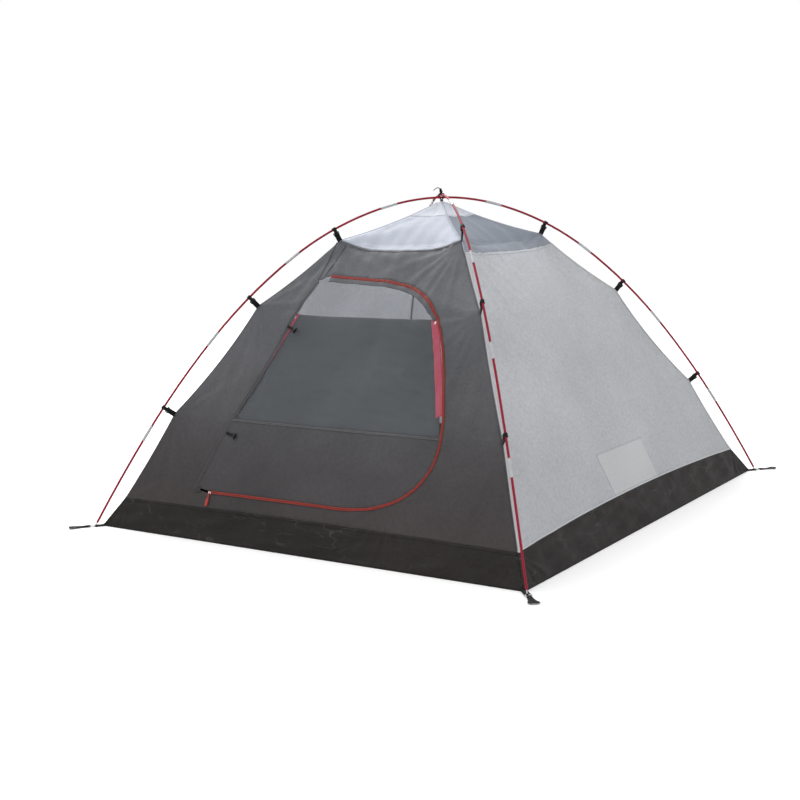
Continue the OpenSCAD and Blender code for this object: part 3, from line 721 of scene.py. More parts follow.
# In each pair of colours below, the second is the same cloth painted lighter towards the peak: painted light
# and shade, not a change of cloth.
wall_dark = fabric("wall_dark_cloth", (0.058, 0.051, 0.052), (0.135, 0.140, 0.152), through=0.10,
                   mottle=0.16, **CLOTH)
door_dark = fabric("door_dark_cloth", (0.066, 0.061, 0.064), (0.120, 0.124, 0.135), through=0.10,
                   mottle=0.16, **CLOTH)
cover_dark = fabric("cover_cloth", (0.106, 0.118, 0.134), through=0.08, mottle=0.14, **CLOTH)
wall_light = fabric("wall_light_cloth", (0.72, 0.733, 0.762), (0.80, 0.813, 0.842), through=0.50,
                    mottle=0.06, crease=0.6, grain=0.8, **CLOTH)
# The pocket patch is painted light: a lighter sheet on the outside of the wall that stands for the pocket
# showing light back through the translucent cloth.
painted_light_patch = fabric("pocket_painted_light", (0.69, 0.70, 0.715), rough=0.6, through=0.35, mottle=0.05, crease=0.3)
roof_white = fabric("roof_white_cloth", (0.67, 0.71, 0.80), **ROOF)
net_roof = fabric("net_roof", (0.30, 0.335, 0.39), through=0.2, see=0.2, crease=0.2, **NET)
# The cap is roof_white's cloth painted lighter: painted light, to make up for the shade the key light leaves
# on the steep cap.
cap_white_painted_lit = fabric("cap_cloth", (0.82, 0.86, 0.93), **ROOF)
net_dark = fabric("net_dark", (0.15, 0.155, 0.16), through=0.1, see=0.8, crease=0.15, **NET)
pocket_cloth = fabric("pocket_cloth", (0.84, 0.845, 0.85), rough=0.6, through=0.2, mottle=0.04)
tub_cloth = fabric("tub_cloth", (0.020, 0.0170, 0.0165), (0.024, 0.021, 0.020), rough=0.55, sheen=0.0,
                   mottle=0.25, crease=0.7, lines=(0.10, 0.097, 0.095), level=0.13, pull=(0.5, 0.5, 1.8))
binding_cloth = fabric("binding_tape", (0.52, 0.53, 0.55), (0.56, 0.57, 0.59), through=0.1, **TAPE)
bead_cloth = fabric("ridge_bead", (0.16, 0.16, 0.165), (0.19, 0.19, 0.195), **TAPE)
seam_dark = fabric("seam_tape", (0.050, 0.047, 0.047), (0.060, 0.060, 0.063), rough=0.65, thread=0.7 * MM,
                   crease=0.15)
garage_black = fabric("garage_cloth", (0.022, 0.022, 0.023), rough=0.6, thread=0.7 * MM, crease=0.3)
zip_tape = webbing_material("zip_tape_red", (0.25, 0.030, 0.022), rib=1.1 * MM, level=0.2)
zip_teeth = plastic("zip_teeth_red", (0.30, 0.036, 0.026), 0.45, scale=90.0, level=0.3)
pull_red = webbing_material("puller_red", (0.36, 0.035, 0.028), rib=1.4 * MM)
cover_zip_red = webbing_material("cover_zip_red", (0.62, 0.07, 0.13), rib=1.1 * MM)
webbing = webbing_material("webbing_black", (0.007, 0.007, 0.0075), level=0.08, rib_highlight=0.3,
                           made=cord_cover)
thread_dark = plastic("thread_dark", (0.05, 0.05, 0.052), 0.7, scale=200.0)
thread_light = plastic("thread_light", (0.40, 0.405, 0.41), 0.7, scale=200.0)
pole_red = plastic("pole_fibreglass", (0.29, 0.018, 0.034), 0.45, scale=14.0, stripe=(0.26, 0.016, 0.034),
                   dents=0.08, level=0.1)
ferrule_steel = plastic("ferrule_steel", (0.44, 0.44, 0.45), 0.36, metal=0.3, scale=35.0)
pin_steel = plastic("pin_steel", (0.55, 0.55, 0.56), 0.28, metal=0.9, scale=80.0)
hook_black = plastic("hook_plastic", (0.008, 0.008, 0.009), 0.5, scale=70.0, level=0.15)
slider_silver = plastic("slider_metal", (0.82, 0.82, 0.82), 0.3, metal=0.3, scale=120.0)
slider_white = plastic("slider_plastic", (0.80, 0.80, 0.80), 0.4, scale=80.0)
cord_white = plastic("shock_cord", (0.75, 0.74, 0.70), 0.75, scale=180.0)


def strap(name, points, section, up, body="tent", material=webbing, closed=False):
    """A woven strap along points, with a section from flat_section() or on_edge()."""
    return tube(name, points, 0, material, body, closed=closed, up=up, shape=section)


# ---- CAD parts that stay, with their finishes ----
CAD_FINISH = {
    "pole_a_sections": pole_red, "pole_b_sections": pole_red, "pole_ferrules": ferrule_steel,
    "shock_cords": cord_white, "corner_pins": pin_steel, "door_slider": slider_silver,
    "toggle_upper": hook_black, "toggle_lower": hook_black, "lantern_ring": hook_black,
    "cover_slider_left": slider_white, "cover_slider_right": slider_white,
}
CORNERS = {"front_left": (-1, -1), "front_right": (1, -1), "back_left": (-1, 1), "back_right": (1, 1)}
for corner in CORNERS:
    for number in (1, 2, 3):
        CAD_FINISH[f"hook_{corner}_{number}"] = hook_black
for node, finish in CAD_FINISH.items():
    made = frame["nodes"][node]
    made.data.materials.clear()
    made.data.materials.append(finish)


# ---- Cuts of cloth ----
def tub_seam(wall, n=60):
    u = np.linspace(-1, 1, n)
    return np.stack([u * reach(TUB_H) * WALLS[wall][3], TUB_H + TUB_RISE[wall] * (1 - u * u)], axis=1)


def roof_seam(wall, n=60):
    u = np.linspace(-1, 1, n)
    top = ROOF_Z[wall]
    return np.stack([u * reach(top) * WALLS[wall][3], top - ROOF_DIP[wall] * (1 - u * u)], axis=1)


def ridge_line(wall, z0, z1, side=1, n=80):
    z = np.linspace(z0, z1, n)
    return np.stack([side * reach(z) * WALLS[wall][3], z], axis=1)


def band_slot(light):
    return "wall_cloth_light" if light else "wall_cloth_dark"


def mirrored(line):
    return (line * (-1, 1))[::-1]


def wall_cut(wall):
    rise = ridge_line(wall, TUB_H, ROOF_Z[wall])[1:-1]
    return np.vstack([tub_seam(wall), rise, roof_seam(wall)[::-1], mirrored(rise)])


def tub_cut(wall):
    rise = ridge_line(wall, 0, TUB_H, n=12)[:-1]
    return np.vstack([rise, tub_seam(wall)[::-1], mirrored(rise)])


def roof_cut(wall):
    rise = ridge_line(wall, ROOF_Z[wall], CAP_Z, n=24)[1:]
    return np.vstack([roof_seam(wall), rise, mirrored(rise)])


zip_path = rounded(ZIP_LINE, 8 * MM, 14)
hinge_path = rounded(HINGE_LINE, 8 * MM, 30)
zip_wall_edge = moved(zip_path, 4 * MM)
zip_door_edge = moved(zip_path, -4 * MM)
door_hole = np.vstack([zip_wall_edge, [(-0.500, 0.160)], hinge_path])
door_cut = np.vstack([zip_door_edge, [(-0.500, 0.166)], hinge_path])
DOOR_SEAM = 0.4084
COVER_TOP = 0.785


def clipped(loop, z, keep_above):
    """The part of an outline above or below a height."""
    made = []
    for p, q in zip(loop, np.roll(loop, -1, axis=0)):
        p_in, q_in = (p[1] >= z) == keep_above, (q[1] >= z) == keep_above
        if p_in:
            made.append(p)
        if p_in != q_in:
            t = (z - p[1]) / (q[1] - p[1])
            made.append(p + (q - p) * t)
    return np.array(made)


# The door's hinge, read from the joints: its position, its axis, and the direction across it into the door.
hinge = next(j for j in frame["joints"] if j["name"] == "door_hinge")
hinge_at, hinge_axis = Vector(hinge["pos_m"]), Vector(hinge["axis"]).normalized()
into_door = hinge_axis.cross(Vector(wall_normal("front", np.array([0.6]))[0])).normalized()
if into_door.x < 0:
    into_door = -into_door


def door_cloth(made):
    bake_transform(made)
    return made


for wall in WALLS:
    light = wall in ("left", "right")
    cloth, slot = (wall_dark if wall == "front" else wall_light), band_slot(wall != "front")
    holes = (door_hole,) if wall == "front" else ()
    made, area = panel(f"{wall}_wall_cloth", wall, wall_cut(wall), cloth, holes)
    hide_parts(f"{wall}_wall")
    made, area = panel(f"{wall}_tub_cloth", wall, tub_cut(wall), tub_cloth, step=7 * MM,
                       thickness=0.9 * MM)
    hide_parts(f"tub_{wall}")
    if light:
        made, area = panel(f"{wall}_roof_net", wall, roof_cut(wall), net_roof, step=8 * MM,
                           thickness=0)
    else:
        made, area = panel(f"{wall}_roof_cloth", wall, roof_cut(wall), roof_white,
                           step=8 * MM)
    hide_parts(f"roof_{wall}")

# The cap: four gussets that meet at the peak.
cap_parts, cap_area = [], 0.0
for wall in WALLS:
    rise = ridge_line(wall, CAP_Z, PEAK - 1 * MM, n=12)
    made, area = panel(f"{wall}_cap", wall, np.vstack([rise, mirrored(rise)]), cap_white_painted_lit, step=6 * MM,
                       body=None)
    cap_parts.append(made)
    cap_area += area
roof_cap = join("roof_cap_cloth", cap_parts)
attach(roof_cap, "tent")
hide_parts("roof_cap")


# The floor.
floor_x, floor_y = FLOOR_REACH * KX, FLOOR_REACH * KY


def near_edge(spots):
    """0 at the floor's edge, 1 from a hand's breadth inside it."""
    return smooth((floor_x - np.abs(spots[:, 0])) / 0.1) * smooth((floor_y - np.abs(spots[:, 1])) / 0.1)


floor_cut = np.array([(-floor_x, -floor_y), (floor_x, -floor_y), (floor_x, floor_y), (-floor_x, floor_y)])
spots, faces = fill(floor_cut, step=22 * MM)
creased = 1.0 * MM * waves(spots[:, 0], spots[:, 1], 71, 0.25)
ground_lift = np.maximum(1.6 * MM + creased * near_edge(spots), 0.3 * MM)
floor_sheet = piece("floor_cloth", np.column_stack([spots, ground_lift]), [tuple(f) for f in faces],
                    tub_cloth, "tent", uv=spots)
thicken(floor_sheet, 0.6 * MM)
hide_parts("floor_sheet")

# The door: lower cloth, netting, hems, and the tapes over its seams.
lower, lower_area = panel("door_lower_cloth", "front", clipped(door_cut, DOOR_SEAM, False), door_dark,
                          body=None)
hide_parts("door_lower")
netting, netting_area = panel("door_netting", "front", clipped(door_cut, DOOR_SEAM, True), net_dark,
                              thickness=0, body=None)
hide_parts("door_mesh")
above = zip_path[:, 1] > COVER_TOP


def dark_band(name, line, start, end, lift, material=door_dark, **more):
    """A tape on the door, attached to no body; door_cloth() bakes its placement into its mesh."""
    return band(name, "front", line, start, end, lift, material, "wall_cloth_dark", body=None, **more)


hem = dark_band("door_hem", zip_path[above], -4 * MM, -19 * MM, 0.3 * MM)
seam_line = np.array([(x, DOOR_SEAM) for x in np.linspace(-0.432, 0.466, 120)])
door_seam = dark_band("door_seam_tape", seam_line, -5 * MM, 5 * MM, 0.4 * MM, crown=0.4 * MM)
left_hem = dark_band("door_left_hem", hinge_path, -2 * MM, -10 * MM, 0.3 * MM)
for made in (lower, netting, hem, door_seam, left_hem):
    door_cloth(made)

hinge_seam = dark_band("hinge_seam", hinge_path, 4 * MM, -2.5 * MM, 0.5 * MM, seam_dark, crown=1.0 * MM)
door_cloth(hinge_seam)

# The storm cover, let down half way behind the netting, and its two zips.
cover_left = np.array([(-0.427, DOOR_SEAM + 2 * MM), (-0.306, COVER_TOP)])
cover_right = np.array([(0.462, DOOR_SEAM + 2 * MM), (0.304, COVER_TOP)])


def cover_slack(a, z):
    high = (z - DOOR_SEAM) / (COVER_TOP - DOOR_SEAM)
    loose = 1.6 * MM * waves(a, z * 1.8, 91, 0.16) + 1.2 * MM * waves(a * 0.4, z * 2.4, 92, 0.10)
    return -5.0 * MM - np.abs(loose) * smooth(high * 6)


top_x = np.linspace(cover_right[1][0], cover_left[1][0], 60)
top_edge = np.stack([top_x, COVER_TOP - 3 * MM * np.sin(np.linspace(0, math.pi, 60))], axis=1)
cover_cut = np.vstack([cover_left[:1], cover_right, top_edge[1:]])
cover, cover_area = panel("storm_cover_cloth", "front", cover_cut, cover_dark, body=None,
                          extra=cover_slack)
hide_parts("storm_cover")
fold_start = Vector(skin("front", 0, DOOR_SEAM, -4 * MM)[0])
fold_end = Vector(skin("front", 0, DOOR_SEAM + 0.03, -4 * MM)[0])
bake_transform(cover)
left_zip = np.array([(-0.404, 0.490), (-0.300, COVER_TOP + 2 * MM)])
right_zip = np.array([(0.424, 0.470), (0.286, COVER_TOP + 2 * MM)])
COVER_TAPE_LIFT = -2.6 * MM
cover_tapes = []
for name, line, start, end, columns in (
    ("left", left_zip, -9 * MM, 12 * MM, 5),
    ("right", right_zip, 0.0, -29 * MM, 6),
):
    cover_tapes.append(band(f"cover_zip_{name}", "front", line, start, end, COVER_TAPE_LIFT, cover_zip_red,
                            "cover_zip", body=None, thickness=0.5 * MM, columns=columns))
for made in cover_tapes:
    door_cloth(made)
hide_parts("cover_zips")

# ---- Door zip ----
TOOTH = [(-1, -1, 0), (1, -1, 0), (1, 1, 0), (-1, 1, 0), (-0.7, -0.9, 1), (0.7, -0.9, 1), (0.7, 0.85, 1),
         (-0.7, 0.85, 1)]
TOOTH_FACES = [(3, 2, 1, 0), (4, 5, 6, 7), (0, 1, 5, 4), (1, 2, 6, 5), (2, 3, 7, 6), (3, 0, 4, 7)]
TOOTH_PITCH = 3.2 * MM


def zip_half(side):
    label = "wall" if side > 0 else "door"
    tape = band(f"zip_tape_{label}", "front", zip_path, side * 0.9 * MM, side * 4.6 * MM, 0.5 * MM, zip_tape,
                "zip_tape", body=None, thickness=0.6 * MM, crown=0.3 * MM)
    points = skin("front", *(moved(zip_path, side * 1.1 * MM).T), 1.3 * MM)
    normals = wall_normal("front", zip_path[:, 1])
    v, f = copies(np.array(TOOTH) * (0.95 * MM, 1.9 * MM, 1.1 * MM), TOOTH_FACES,
                  frames_along(points, normals, TOOTH_PITCH, 0 if side > 0 else TOOTH_PITCH / 2))
    teeth = piece(f"zip_teeth_{label}", v, f, zip_teeth, None, shade=False)
    cord_line = skin("front", *(moved(zip_path, side * 3.0 * MM).T), 1.5 * MM)
    cord = tube(f"zip_cord_{label}", cord_line, 0.7 * MM, zip_teeth, None, sides=6)
    stitch = stitch_rows(f"zip_stitches_{label}", [row_on("front", zip_path, side * 4.1 * MM, 1.3 * MM)],
                         thread_dark, None)
    for made in (tape, teeth, cord, stitch):
        if side > 0:
            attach(made, "tent")
        else:
            door_cloth(made)
    return tape


zip_wall = zip_half(1)
zip_door = zip_half(-1)
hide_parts("zip_wall_half")
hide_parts("zip_door_half")

# ---- Seams between the walls ----
light_stitches, dark_stitches = [], []
for wall in WALLS:
    light = wall != "front"
    seam = tub_seam(wall)
    band(f"{wall}_tub_seam", wall, seam, -7 * MM, 1.5 * MM, 0.5 * MM, tub_cloth, "tub_cloth", crown=0.5 * MM)
    (light_stitches if light else dark_stitches).append(row_on(wall, seam, 3.5 * MM, 0.5 * MM))
    dark_stitches.append(row_on(wall, seam, -3.5 * MM, 1.4 * MM))
    if light:
        band(f"{wall}_tub_hem", wall, seam, 1.6 * MM, 8 * MM, 0.4 * MM, binding_cloth, "binding",
             crown=0.6 * MM)
    roof = roof_seam(wall)
    band(f"{wall}_roof_seam", wall, roof, -8 * MM, 1 * MM, 0.5 * MM, wall_light if light else wall_dark,
         band_slot(light), crown=0.4 * MM)
    (light_stitches if light else dark_stitches).append(row_on(wall, roof, -4 * MM, 1.3 * MM))

for corner, (sx, sy) in CORNERS.items():
    side_wall = "right" if sx > 0 else "left"
    side_ridge = ridge_line(side_wall, TUB_H + 3 * MM, ROOF_Z[side_wall] + 2 * MM, sy, 150)
    tape = band(f"ridge_tape_{corner}", side_wall, side_ridge, sy * 0.3 * MM, sy * 11.5 * MM, 0.6 * MM,
                binding_cloth, "binding", thickness=0.7 * MM)
    line = place(side_wall, side_ridge[:, 0], side_ridge[:, 1], 0.9 * MM)
    tube(f"ridge_bead_{corner}", line, 1.3 * MM, bead_cloth, sides=8)
    roof_ridge = ridge_line(side_wall, ROOF_Z[side_wall], PEAK - 8 * MM, sy, 60)
    line = place(side_wall, roof_ridge[:, 0], roof_ridge[:, 1], 0.6 * MM)
    tube(f"roof_ridge_{corner}", line, 1.2 * MM, roof_white, sides=8)
    light_stitches.append(row_on(side_wall, side_ridge, sy * 9.5 * MM, 1.5 * MM))
    low = ridge_line(side_wall, 2 * MM, TUB_H + 3 * MM, sy, 16)
    tube(f"tub_corner_{corner}", place(side_wall, low[:, 0], low[:, 1], 0.5 * MM), 1.8 * MM, tub_cloth,
         sides=8)
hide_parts("ridge_bindings")

# Reinforcing strips from the upper left hook down to the door.
for n, (top, low) in enumerate([((-0.282, 1.036), (-0.285, 0.903)), ((-0.240, 1.028), (-0.262, 0.915))]):
    strip_line = resample(np.array([top, low]), 8 * MM)
    band(f"door_strap_seam_{n + 1}", "front", strip_line, -2.2 * MM, 2.2 * MM, 0.4 * MM, seam_dark,
         "wall_cloth_dark", crown=0.8 * MM)

dark_stitches.append(row_on("front", hinge_path, 7 * MM, 0.6 * MM))
stitch_rows("stitches_light", light_stitches, thread_light)
stitch_rows("stitches_dark", dark_stitches, thread_dark)
door_rows = [row_on("front", seam_line, by, 1.4 * MM) for by in (3 * MM, -3 * MM)]
door_rows.append(row_on("front", zip_path[above], -16 * MM, 1.1 * MM))
door_stitches = stitch_rows("door_stitches", door_rows, thread_light, None)
door_cloth(door_stitches)


# ---- Pocket ----
def pocket_bag(a, z):
    return -4 * MM - 5 * MM * smooth((z - 0.13) / 0.12)


pocket_cut = np.array([(-0.200, 0.126), (0.200, 0.126), (0.180, 0.276), (-0.220, 0.276)])
pocket, pocket_area = panel("pocket_cloth", "right", pocket_cut, pocket_cloth, extra=pocket_bag,
                            step=8 * MM)
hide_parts("pocket_right")

# Painted light: a lighter patch on the outside of the wall, in place of the light that the pocket behind
# sends back through the translucent cloth.
patch_cut = np.array([(-0.200, 0.127), (0.200, 0.127), (0.180, 0.276), (-0.220, 0.276)])
patch, patch_area = panel("pocket_patch_cloth", "right", patch_cut, painted_light_patch,
                          step=8 * MM, lift=0.8 * MM, thickness=0.5 * MM)
stitch_rows("pocket_stitches", [row_on("right", np.vstack([patch_cut, patch_cut[:1]]), 3 * MM, 1.5 * MM)],
            thread_light)

# ---- Lantern tab ----
tab_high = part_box("lantern_tab")[1]
ring_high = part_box("lantern_ring")[1]
ring_top = ring_high.z - 1.5 * MM
t = np.linspace(0, math.tau, 25)[:-1]
loop_mid, loop_half = (ring_top + tab_high.z) / 2, (tab_high.z - ring_top) / 2 + 1.5 * MM
loop = np.stack([np.zeros(24), 2.6 * MM * np.sin(t), loop_mid + loop_half * np.cos(t)], axis=1)
lantern_tab = strap("lantern_loop", loop, on_edge(12 * MM, 1.0 * MM), (1, 0, 0), closed=True)
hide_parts("lantern_tab")


# ---- Straps from the ridges to the hooks ----
def pole_lift(sx, sy):
    """One pole passes under the other at the crossing."""
    return -POLE_LIFT if sx * sy > 0 else POLE_LIFT


def leg_frame(corner, a, lift):
    """Origin and axes at a tangent angle of a leg: down along the pole, across it, and outward."""
    sx, sy = CORNERS[corner]
    r, z = leg_point(a)
    radial = Vector((sx * KX, sy * KY, 0))
    origin = radial * r + Vector((0, 0, z + lift))
    down = radial * math.cos(a) - Vector((0, 0, math.sin(a)))
    out = radial * math.sin(a) + Vector((0, 0, math.cos(a)))
    return origin, down, out.cross(down), out


EYE_BAR_Z = -21.5 * MM
HOOK_STRAP = (20 * MM, 1.1 * MM)
STRAP_FOLD = (17 * MM, 5.6 * MM)
FOLD_Z = (-23.5, -20, -16, -12.5)
for corner, (sx, sy) in CORNERS.items():
    lift = pole_lift(sx, sy)
    for n, a in enumerate(HOOK_AT):
        origin, down, across, out = leg_frame(corner, a, lift)
        foot = -(HOOK_DROP + lift * math.cos(a))
        path = [(0.7, foot - 9 * MM), (0.7, foot - 2 * MM), (0.8, foot + 3 * MM)]
        path += [(1.6, -27.5 * MM), (2.7, -24.5 * MM)]
        path += arc(0, EYE_BAR_Z, 2.75, 2.2 * MM, -0.2, math.pi + 0.2, 9)
        path += [(-2.7, -24.5 * MM), (-1.6, -27.5 * MM), (-0.8, foot + 3 * MM), (-0.7, foot - 2 * MM),
                 (-0.7, foot - 9 * MM)]
        path = rounded(np.array([(y * MM, z) for y, z in path]), 1.6 * MM, 2)
        points = np.array([origin + across * y + out * z for y, z in path])
        hook = f"hook_{corner}_{n + 1}"
        made = strap(f"hook_strap_{corner}_{n + 1}", points, on_edge(*HOOK_STRAP), tuple(down), None)
        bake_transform(made)
        if corner == "front_left" and n == 0:
            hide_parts("hook_straps")
        points = np.array([origin + out * (z * MM) for z in FOLD_Z])
        strap(f"strap_fold_{corner}_{n + 1}", points, on_edge(*STRAP_FOLD), tuple(down), hook, hook_black)
        rows = []
        for s in (-1, 1):
            for d in (-6, 6):
                base = origin + across * (s * 1.35 * MM) + down * (d * MM)
                rows.append((np.array([base + out * (foot + e * MM) for e in np.linspace(-6, 4, 5)]),
                             np.array([across * s] * 5)))
        stitch_rows(f"strap_tack_{corner}_{n + 1}", rows, thread_dark, pitch=2.2 * MM, long=1.8 * MM,
                    thick=0.5 * MM)

# ---- Corners: webbing to the ring, and the peg loops ----
RING_R = 11 * MM
PIN_UP = 14 * MM
CORNER_STRAP = (20 * MM, 1.2 * MM)
LOOP_STRAP = (15 * MM, 1.4 * MM)
NECK_STRAP = (15 * MM, 1.2 * MM)
for corner, (sx, sy) in CORNERS.items():
    radial = Vector((sx * KX, sy * KY, 0))
    side = Vector((-radial.y, radial.x, 0))
    lift = pole_lift(sx, sy)
    # Tangent angle at the pole foot, where the pin enters it.
    start = along_leg(3, BEND_AT[4])
    foot_a = math.acos(math.cos(BEND_AT[4]) - (start[1] + CROSSING + lift - PIN_UP) / LEG_R)
    foot_r = along_leg(4, foot_a)[0]
    ring_x = foot_r + 12 * MM / math.tan(foot_a)
    path = [(FLOOR_REACH - 22 * MM, 13.5 * MM), (FLOOR_REACH - 12 * MM, 8.5 * MM),
            (FLOOR_REACH - 1 * MM, 4.2 * MM), (FLOOR_REACH + 10 * MM, 2.6 * MM)]
    path += [(ring_x - 6 * MM, 3.6 * MM)]
    path += arc(ring_x, 2 * MM, 2.9 * MM, 2.9 * MM, 2.2, -1.9, 9)
    path += [(ring_x - 6 * MM, 0.5 * MM), (FLOOR_REACH + 10 * MM, 0.6 * MM),
             (FLOOR_REACH - 6 * MM, 0.7 * MM), (FLOOR_REACH - 16 * MM, 0.9 * MM)]
    path = rounded(np.array(path), 2 * MM, 2)
    points = np.array([radial * r + Vector((0, 0, z)) for r, z in path])
    strap(f"corner_webbing_{corner}", points, on_edge(*CORNER_STRAP), tuple(side))
    # Peg loop: a strap round the ring's far side, spread into a triangle.
    far = ring_x + 2 * RING_R
    loop_path = [(far + 8 * MM, -1.5, 3.4), (far + 22 * MM, -3.0, 3.0), (far + 42 * MM, -5.5, 2.6),
                 (far + 58 * MM, -11, 2.4), (far + 67 * MM, -13, 3.0),
                 (far + 70 * MM, -6, 4.2), (far + 70 * MM, 6, 4.2), (far + 67 * MM, 13, 3.4),
                 (far + 58 * MM, 11, 1.6), (far + 42 * MM, 5.5, 1.2),
                 (far + 22 * MM, 3.0, 1.3), (far + 8 * MM, 1.5, 1.6)]
    loop_path = rounded(np.array([(r, s * MM, z * MM) for r, s, z in loop_path]), 3 * MM, 3)
    points = np.array([radial * r + side * s + Vector((0, 0, z)) for r, s, z in loop_path])
    peg_loop = f"peg_loop_{corner}"
    loop = strap(peg_loop, points, flat_section(*LOOP_STRAP), (0, 0, 1), peg_loop)
    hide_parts(peg_loop)
    neck = [(far + 20 * MM, 3.6), (far + 12 * MM, 4.4), (far + 4 * MM, 5.0)]
    neck += arc(far - 0.2 * MM, 2, 3.0 * MM, 3.0, 1.2, math.tau - 1.2, 11)
    neck += [(far + 4 * MM, 0.6), (far + 12 * MM, 0.6), (far + 20 * MM, 0.8)]
    neck = rounded(np.array([(r, z * MM) for r, z in neck]), 2 * MM, 1)
    points = np.array([radial * r + Vector((0, 0, z)) for r, z in neck])
    strap(f"peg_neck_{corner}", points, on_edge(*NECK_STRAP), tuple(side), peg_loop)
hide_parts("corner_webbings")

# ---- Tie at the peak ----
t = np.linspace(0, math.tau, 41)[:-1]
wobble = 12.3 * MM + 0.4 * MM * np.sin(3 * t + 0.6)
ring = np.stack([wobble * np.cos(t), 1.2 * MM * np.sin(2 * t), CROSSING + wobble * np.sin(t)], axis=1)
tie = strap("peak_tie", ring, on_edge(9 * MM, 1.6 * MM), (0, 1, 0), closed=True)
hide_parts("apex_tie")
t = np.linspace(0, 1, 40)
knot = np.stack([4.5 * MM * np.cos(t * 10), 3.6 * MM * np.sin(t * 10) - 4 * MM,
                 CROSSING + 15 * MM + 7 * MM * t + 1.5 * MM * np.sin(t * 23)], axis=1)
tube("peak_knot", knot, 2.2 * MM, webbing, sides=8)
tab_path = np.array([(0, 0, PEAK - 6 * MM), (0, 0, PEAK + 2 * MM), (0, 0.2 * MM, CROSSING - 13.6 * MM)])
end_path = np.array([(1, -4, 1208), (1, -6, 1216), (1.5, -8, 1224), (0.5, -9, 1233)]) * MM
strap("peak_strap_end", resample(end_path, 3 * MM), flat_section(10 * MM, 2.4 * MM), (0, 1, 0.2))
strap("peak_tab", resample(tab_path, 2 * MM), flat_section(14 * MM, 1.6 * MM), (0, 1, 0))

# ---- Zip details ----
pull_low, pull_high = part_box("door_puller")
mid = (pull_low + pull_high) / 2
t = np.linspace(0, 1, 30)
start = np.array((mid.x, pull_high.y - 1 * MM, pull_high.z - 2 * MM))
end = np.array((mid.x, pull_low.y + 1 * MM, pull_low.z))
middle_line = start + (end - start) * t[:, None]
grip_up = tuple(wall_normal("front", np.array([0.157]))[0])
grip = middle_line[11:]
puller = tube("door_pull_cord", grip, 1.0 * MM, pull_red, "door_puller", up=grip_up, sides=14,
              flat=0.6)
for k, centre in enumerate(grip):
    u = k / (len(grip) - 1)
    width = 3.4 + 3.0 * float(smooth(u / 0.35)) - 2.4 * float(smooth((u - 0.85) / 0.15))
    for j in range(14):
        v = puller.data.vertices[k * 14 + j]
        v.co = Vector(centre) + (v.co - Vector(centre)) * width
for name, by in (("left", -2.4 * MM), ("right", 2.4 * MM)):
    tube(f"door_pull_strand_{name}", middle_line[:14] + (by, 0, 0), 1.7 * MM, pull_red, "door_puller",
         sides=8)
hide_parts("door_puller")

garage_line = np.array([(-0.492, 0.160), (-0.497, 0.157), (-0.523, 0.157)])
garage = band("zip_garage_cloth", "front", resample(garage_line, 3 * MM), -9 * MM, 7 * MM, 1.4 * MM,
              garage_black, "webbing", crown=1.6 * MM, columns=7, step=3 * MM)
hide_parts("zip_garage")

# Toggle straps: sewn to the hinge seam, and folded round the rods. Place, tilt back and droop of each.
TOGGLES = {"upper": (-0.331, 0.740, 33, 24), "lower": (-0.449, 0.363, 26, 14)}
TOGGLE_STRAP = (10 * MM, 1.1 * MM)
for name, (a0, z0, tilt, droop) in TOGGLES.items():
    tilt, droop = math.radians(tilt), math.radians(droop)
    base = np.array((a0, -float(reach(z0)) * KY, z0))
    rise = np.array((0, math.sin(tilt), math.cos(tilt)))
    normal = np.array((0, -math.cos(tilt), math.sin(tilt)))
    ahead = np.array((math.cos(droop), 0, 0)) - rise * math.sin(droop)
    path = [(9, 1.2), (14, 1.2), (26, 1.3), (44, 1.3), (53, 0.9)]
    path += arc(57.8, 4.6, 4.2, 4.2, -1.7, 2.3, 12)
    path += [(50, 4.4), (44, 2.8), (34, 2.6)]
    path = rounded(np.array(path) * MM, 1.6 * MM, 1)
    points = base + np.outer(path[:, 0], ahead) + np.outer(path[:, 1], normal)
    wide = tuple(np.cross(normal, ahead))
    made = strap(f"toggle_strap_{name}", points, on_edge(*TOGGLE_STRAP), wide, None)
    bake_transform(made)
    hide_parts(f"toggle_strap_{name}")

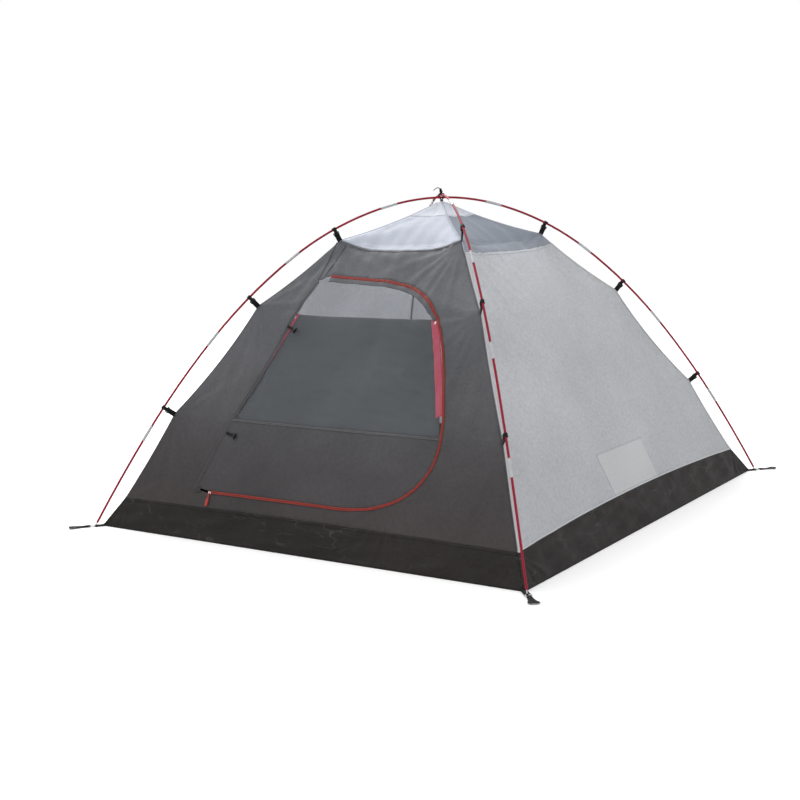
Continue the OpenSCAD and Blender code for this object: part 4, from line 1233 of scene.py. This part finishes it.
# ---- Stage and light ----
STAGE_SIZE, STAGE_Z = 60.0, -1.2 * MM
bpy.ops.mesh.primitive_plane_add(size=STAGE_SIZE, location=(0, 0, STAGE_Z))
ground = bpy.context.object
ground.name = "stage_floor"
pale = Tree("stage_floor")
pale_spot = pale.add("ShaderNodeTexCoord").outputs["Object"]
pale_tone = pale.blend(pale.noise(pale_spot, 0.8, 2, 0.5), (0.90, 0.90, 0.90, 1), (0.93, 0.93, 0.93, 1))
ground.data.materials.append(pale.finish(pale.add("ShaderNodeBsdfPrincipled", {
    "Base Color": pale_tone, "Roughness": 0.9, "Specular IOR Level": 0.1, "Emission Color": (1, 1, 1, 1),
    "Emission Strength": 0.14}).outputs[0]))
ground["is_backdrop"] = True

# The sky is brighter above and behind the tent. The camera sees it plain white.
SKY_LEVEL, SKY_RISE, SKY_SIDE = 0.74, 0.42, (-0.13, 0.13, 0.0)
world = bpy.data.worlds.new("studio")
scene.world = world
sky = Nodes(world)
way = sky.add("ShaderNodeTexCoord").outputs["Generated"]
height = sky.math("MULTIPLY", sky.add("ShaderNodeSeparateXYZ", {0: way}).outputs[2], SKY_RISE)
behind = sky.add("ShaderNodeVectorMath", {0: way, 1: SKY_SIDE}, operation="DOT_PRODUCT").outputs["Value"]
glow = sky.math("ADD", sky.math("ADD", height, behind), SKY_LEVEL)
lit = sky.add("ShaderNodeBackground", {0: (1.0, 1.0, 1.0, 1), 1: glow}).outputs[0]
plain = sky.add("ShaderNodeBackground", {0: (1.0, 1.0, 1.0, 1), 1: 1.0}).outputs[0]
to_camera = sky.add("ShaderNodeLightPath").outputs[0]
seen = sky.add("ShaderNodeMixShader", {0: to_camera, 1: lit, 2: plain}).outputs[0]
sky.add("ShaderNodeOutputWorld", {0: seen})


def area_light(name, where, aim, size, power):
    data = bpy.data.lights.new(name, "AREA")
    data.size, data.energy = size, power
    lamp = bpy.data.objects.new(name, data)
    scene.collection.objects.link(lamp)
    lamp.location = where
    lamp.rotation_mode = "QUATERNION"
    lamp.rotation_quaternion = (Vector(aim) - Vector(where)).to_track_quat("-Z", "Y")


area_light("key", (-4.5, 3.5, 6.0), (0, 0, 0.5), 4.0, 480)
scene.view_settings.view_transform = "Standard"

low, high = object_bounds()
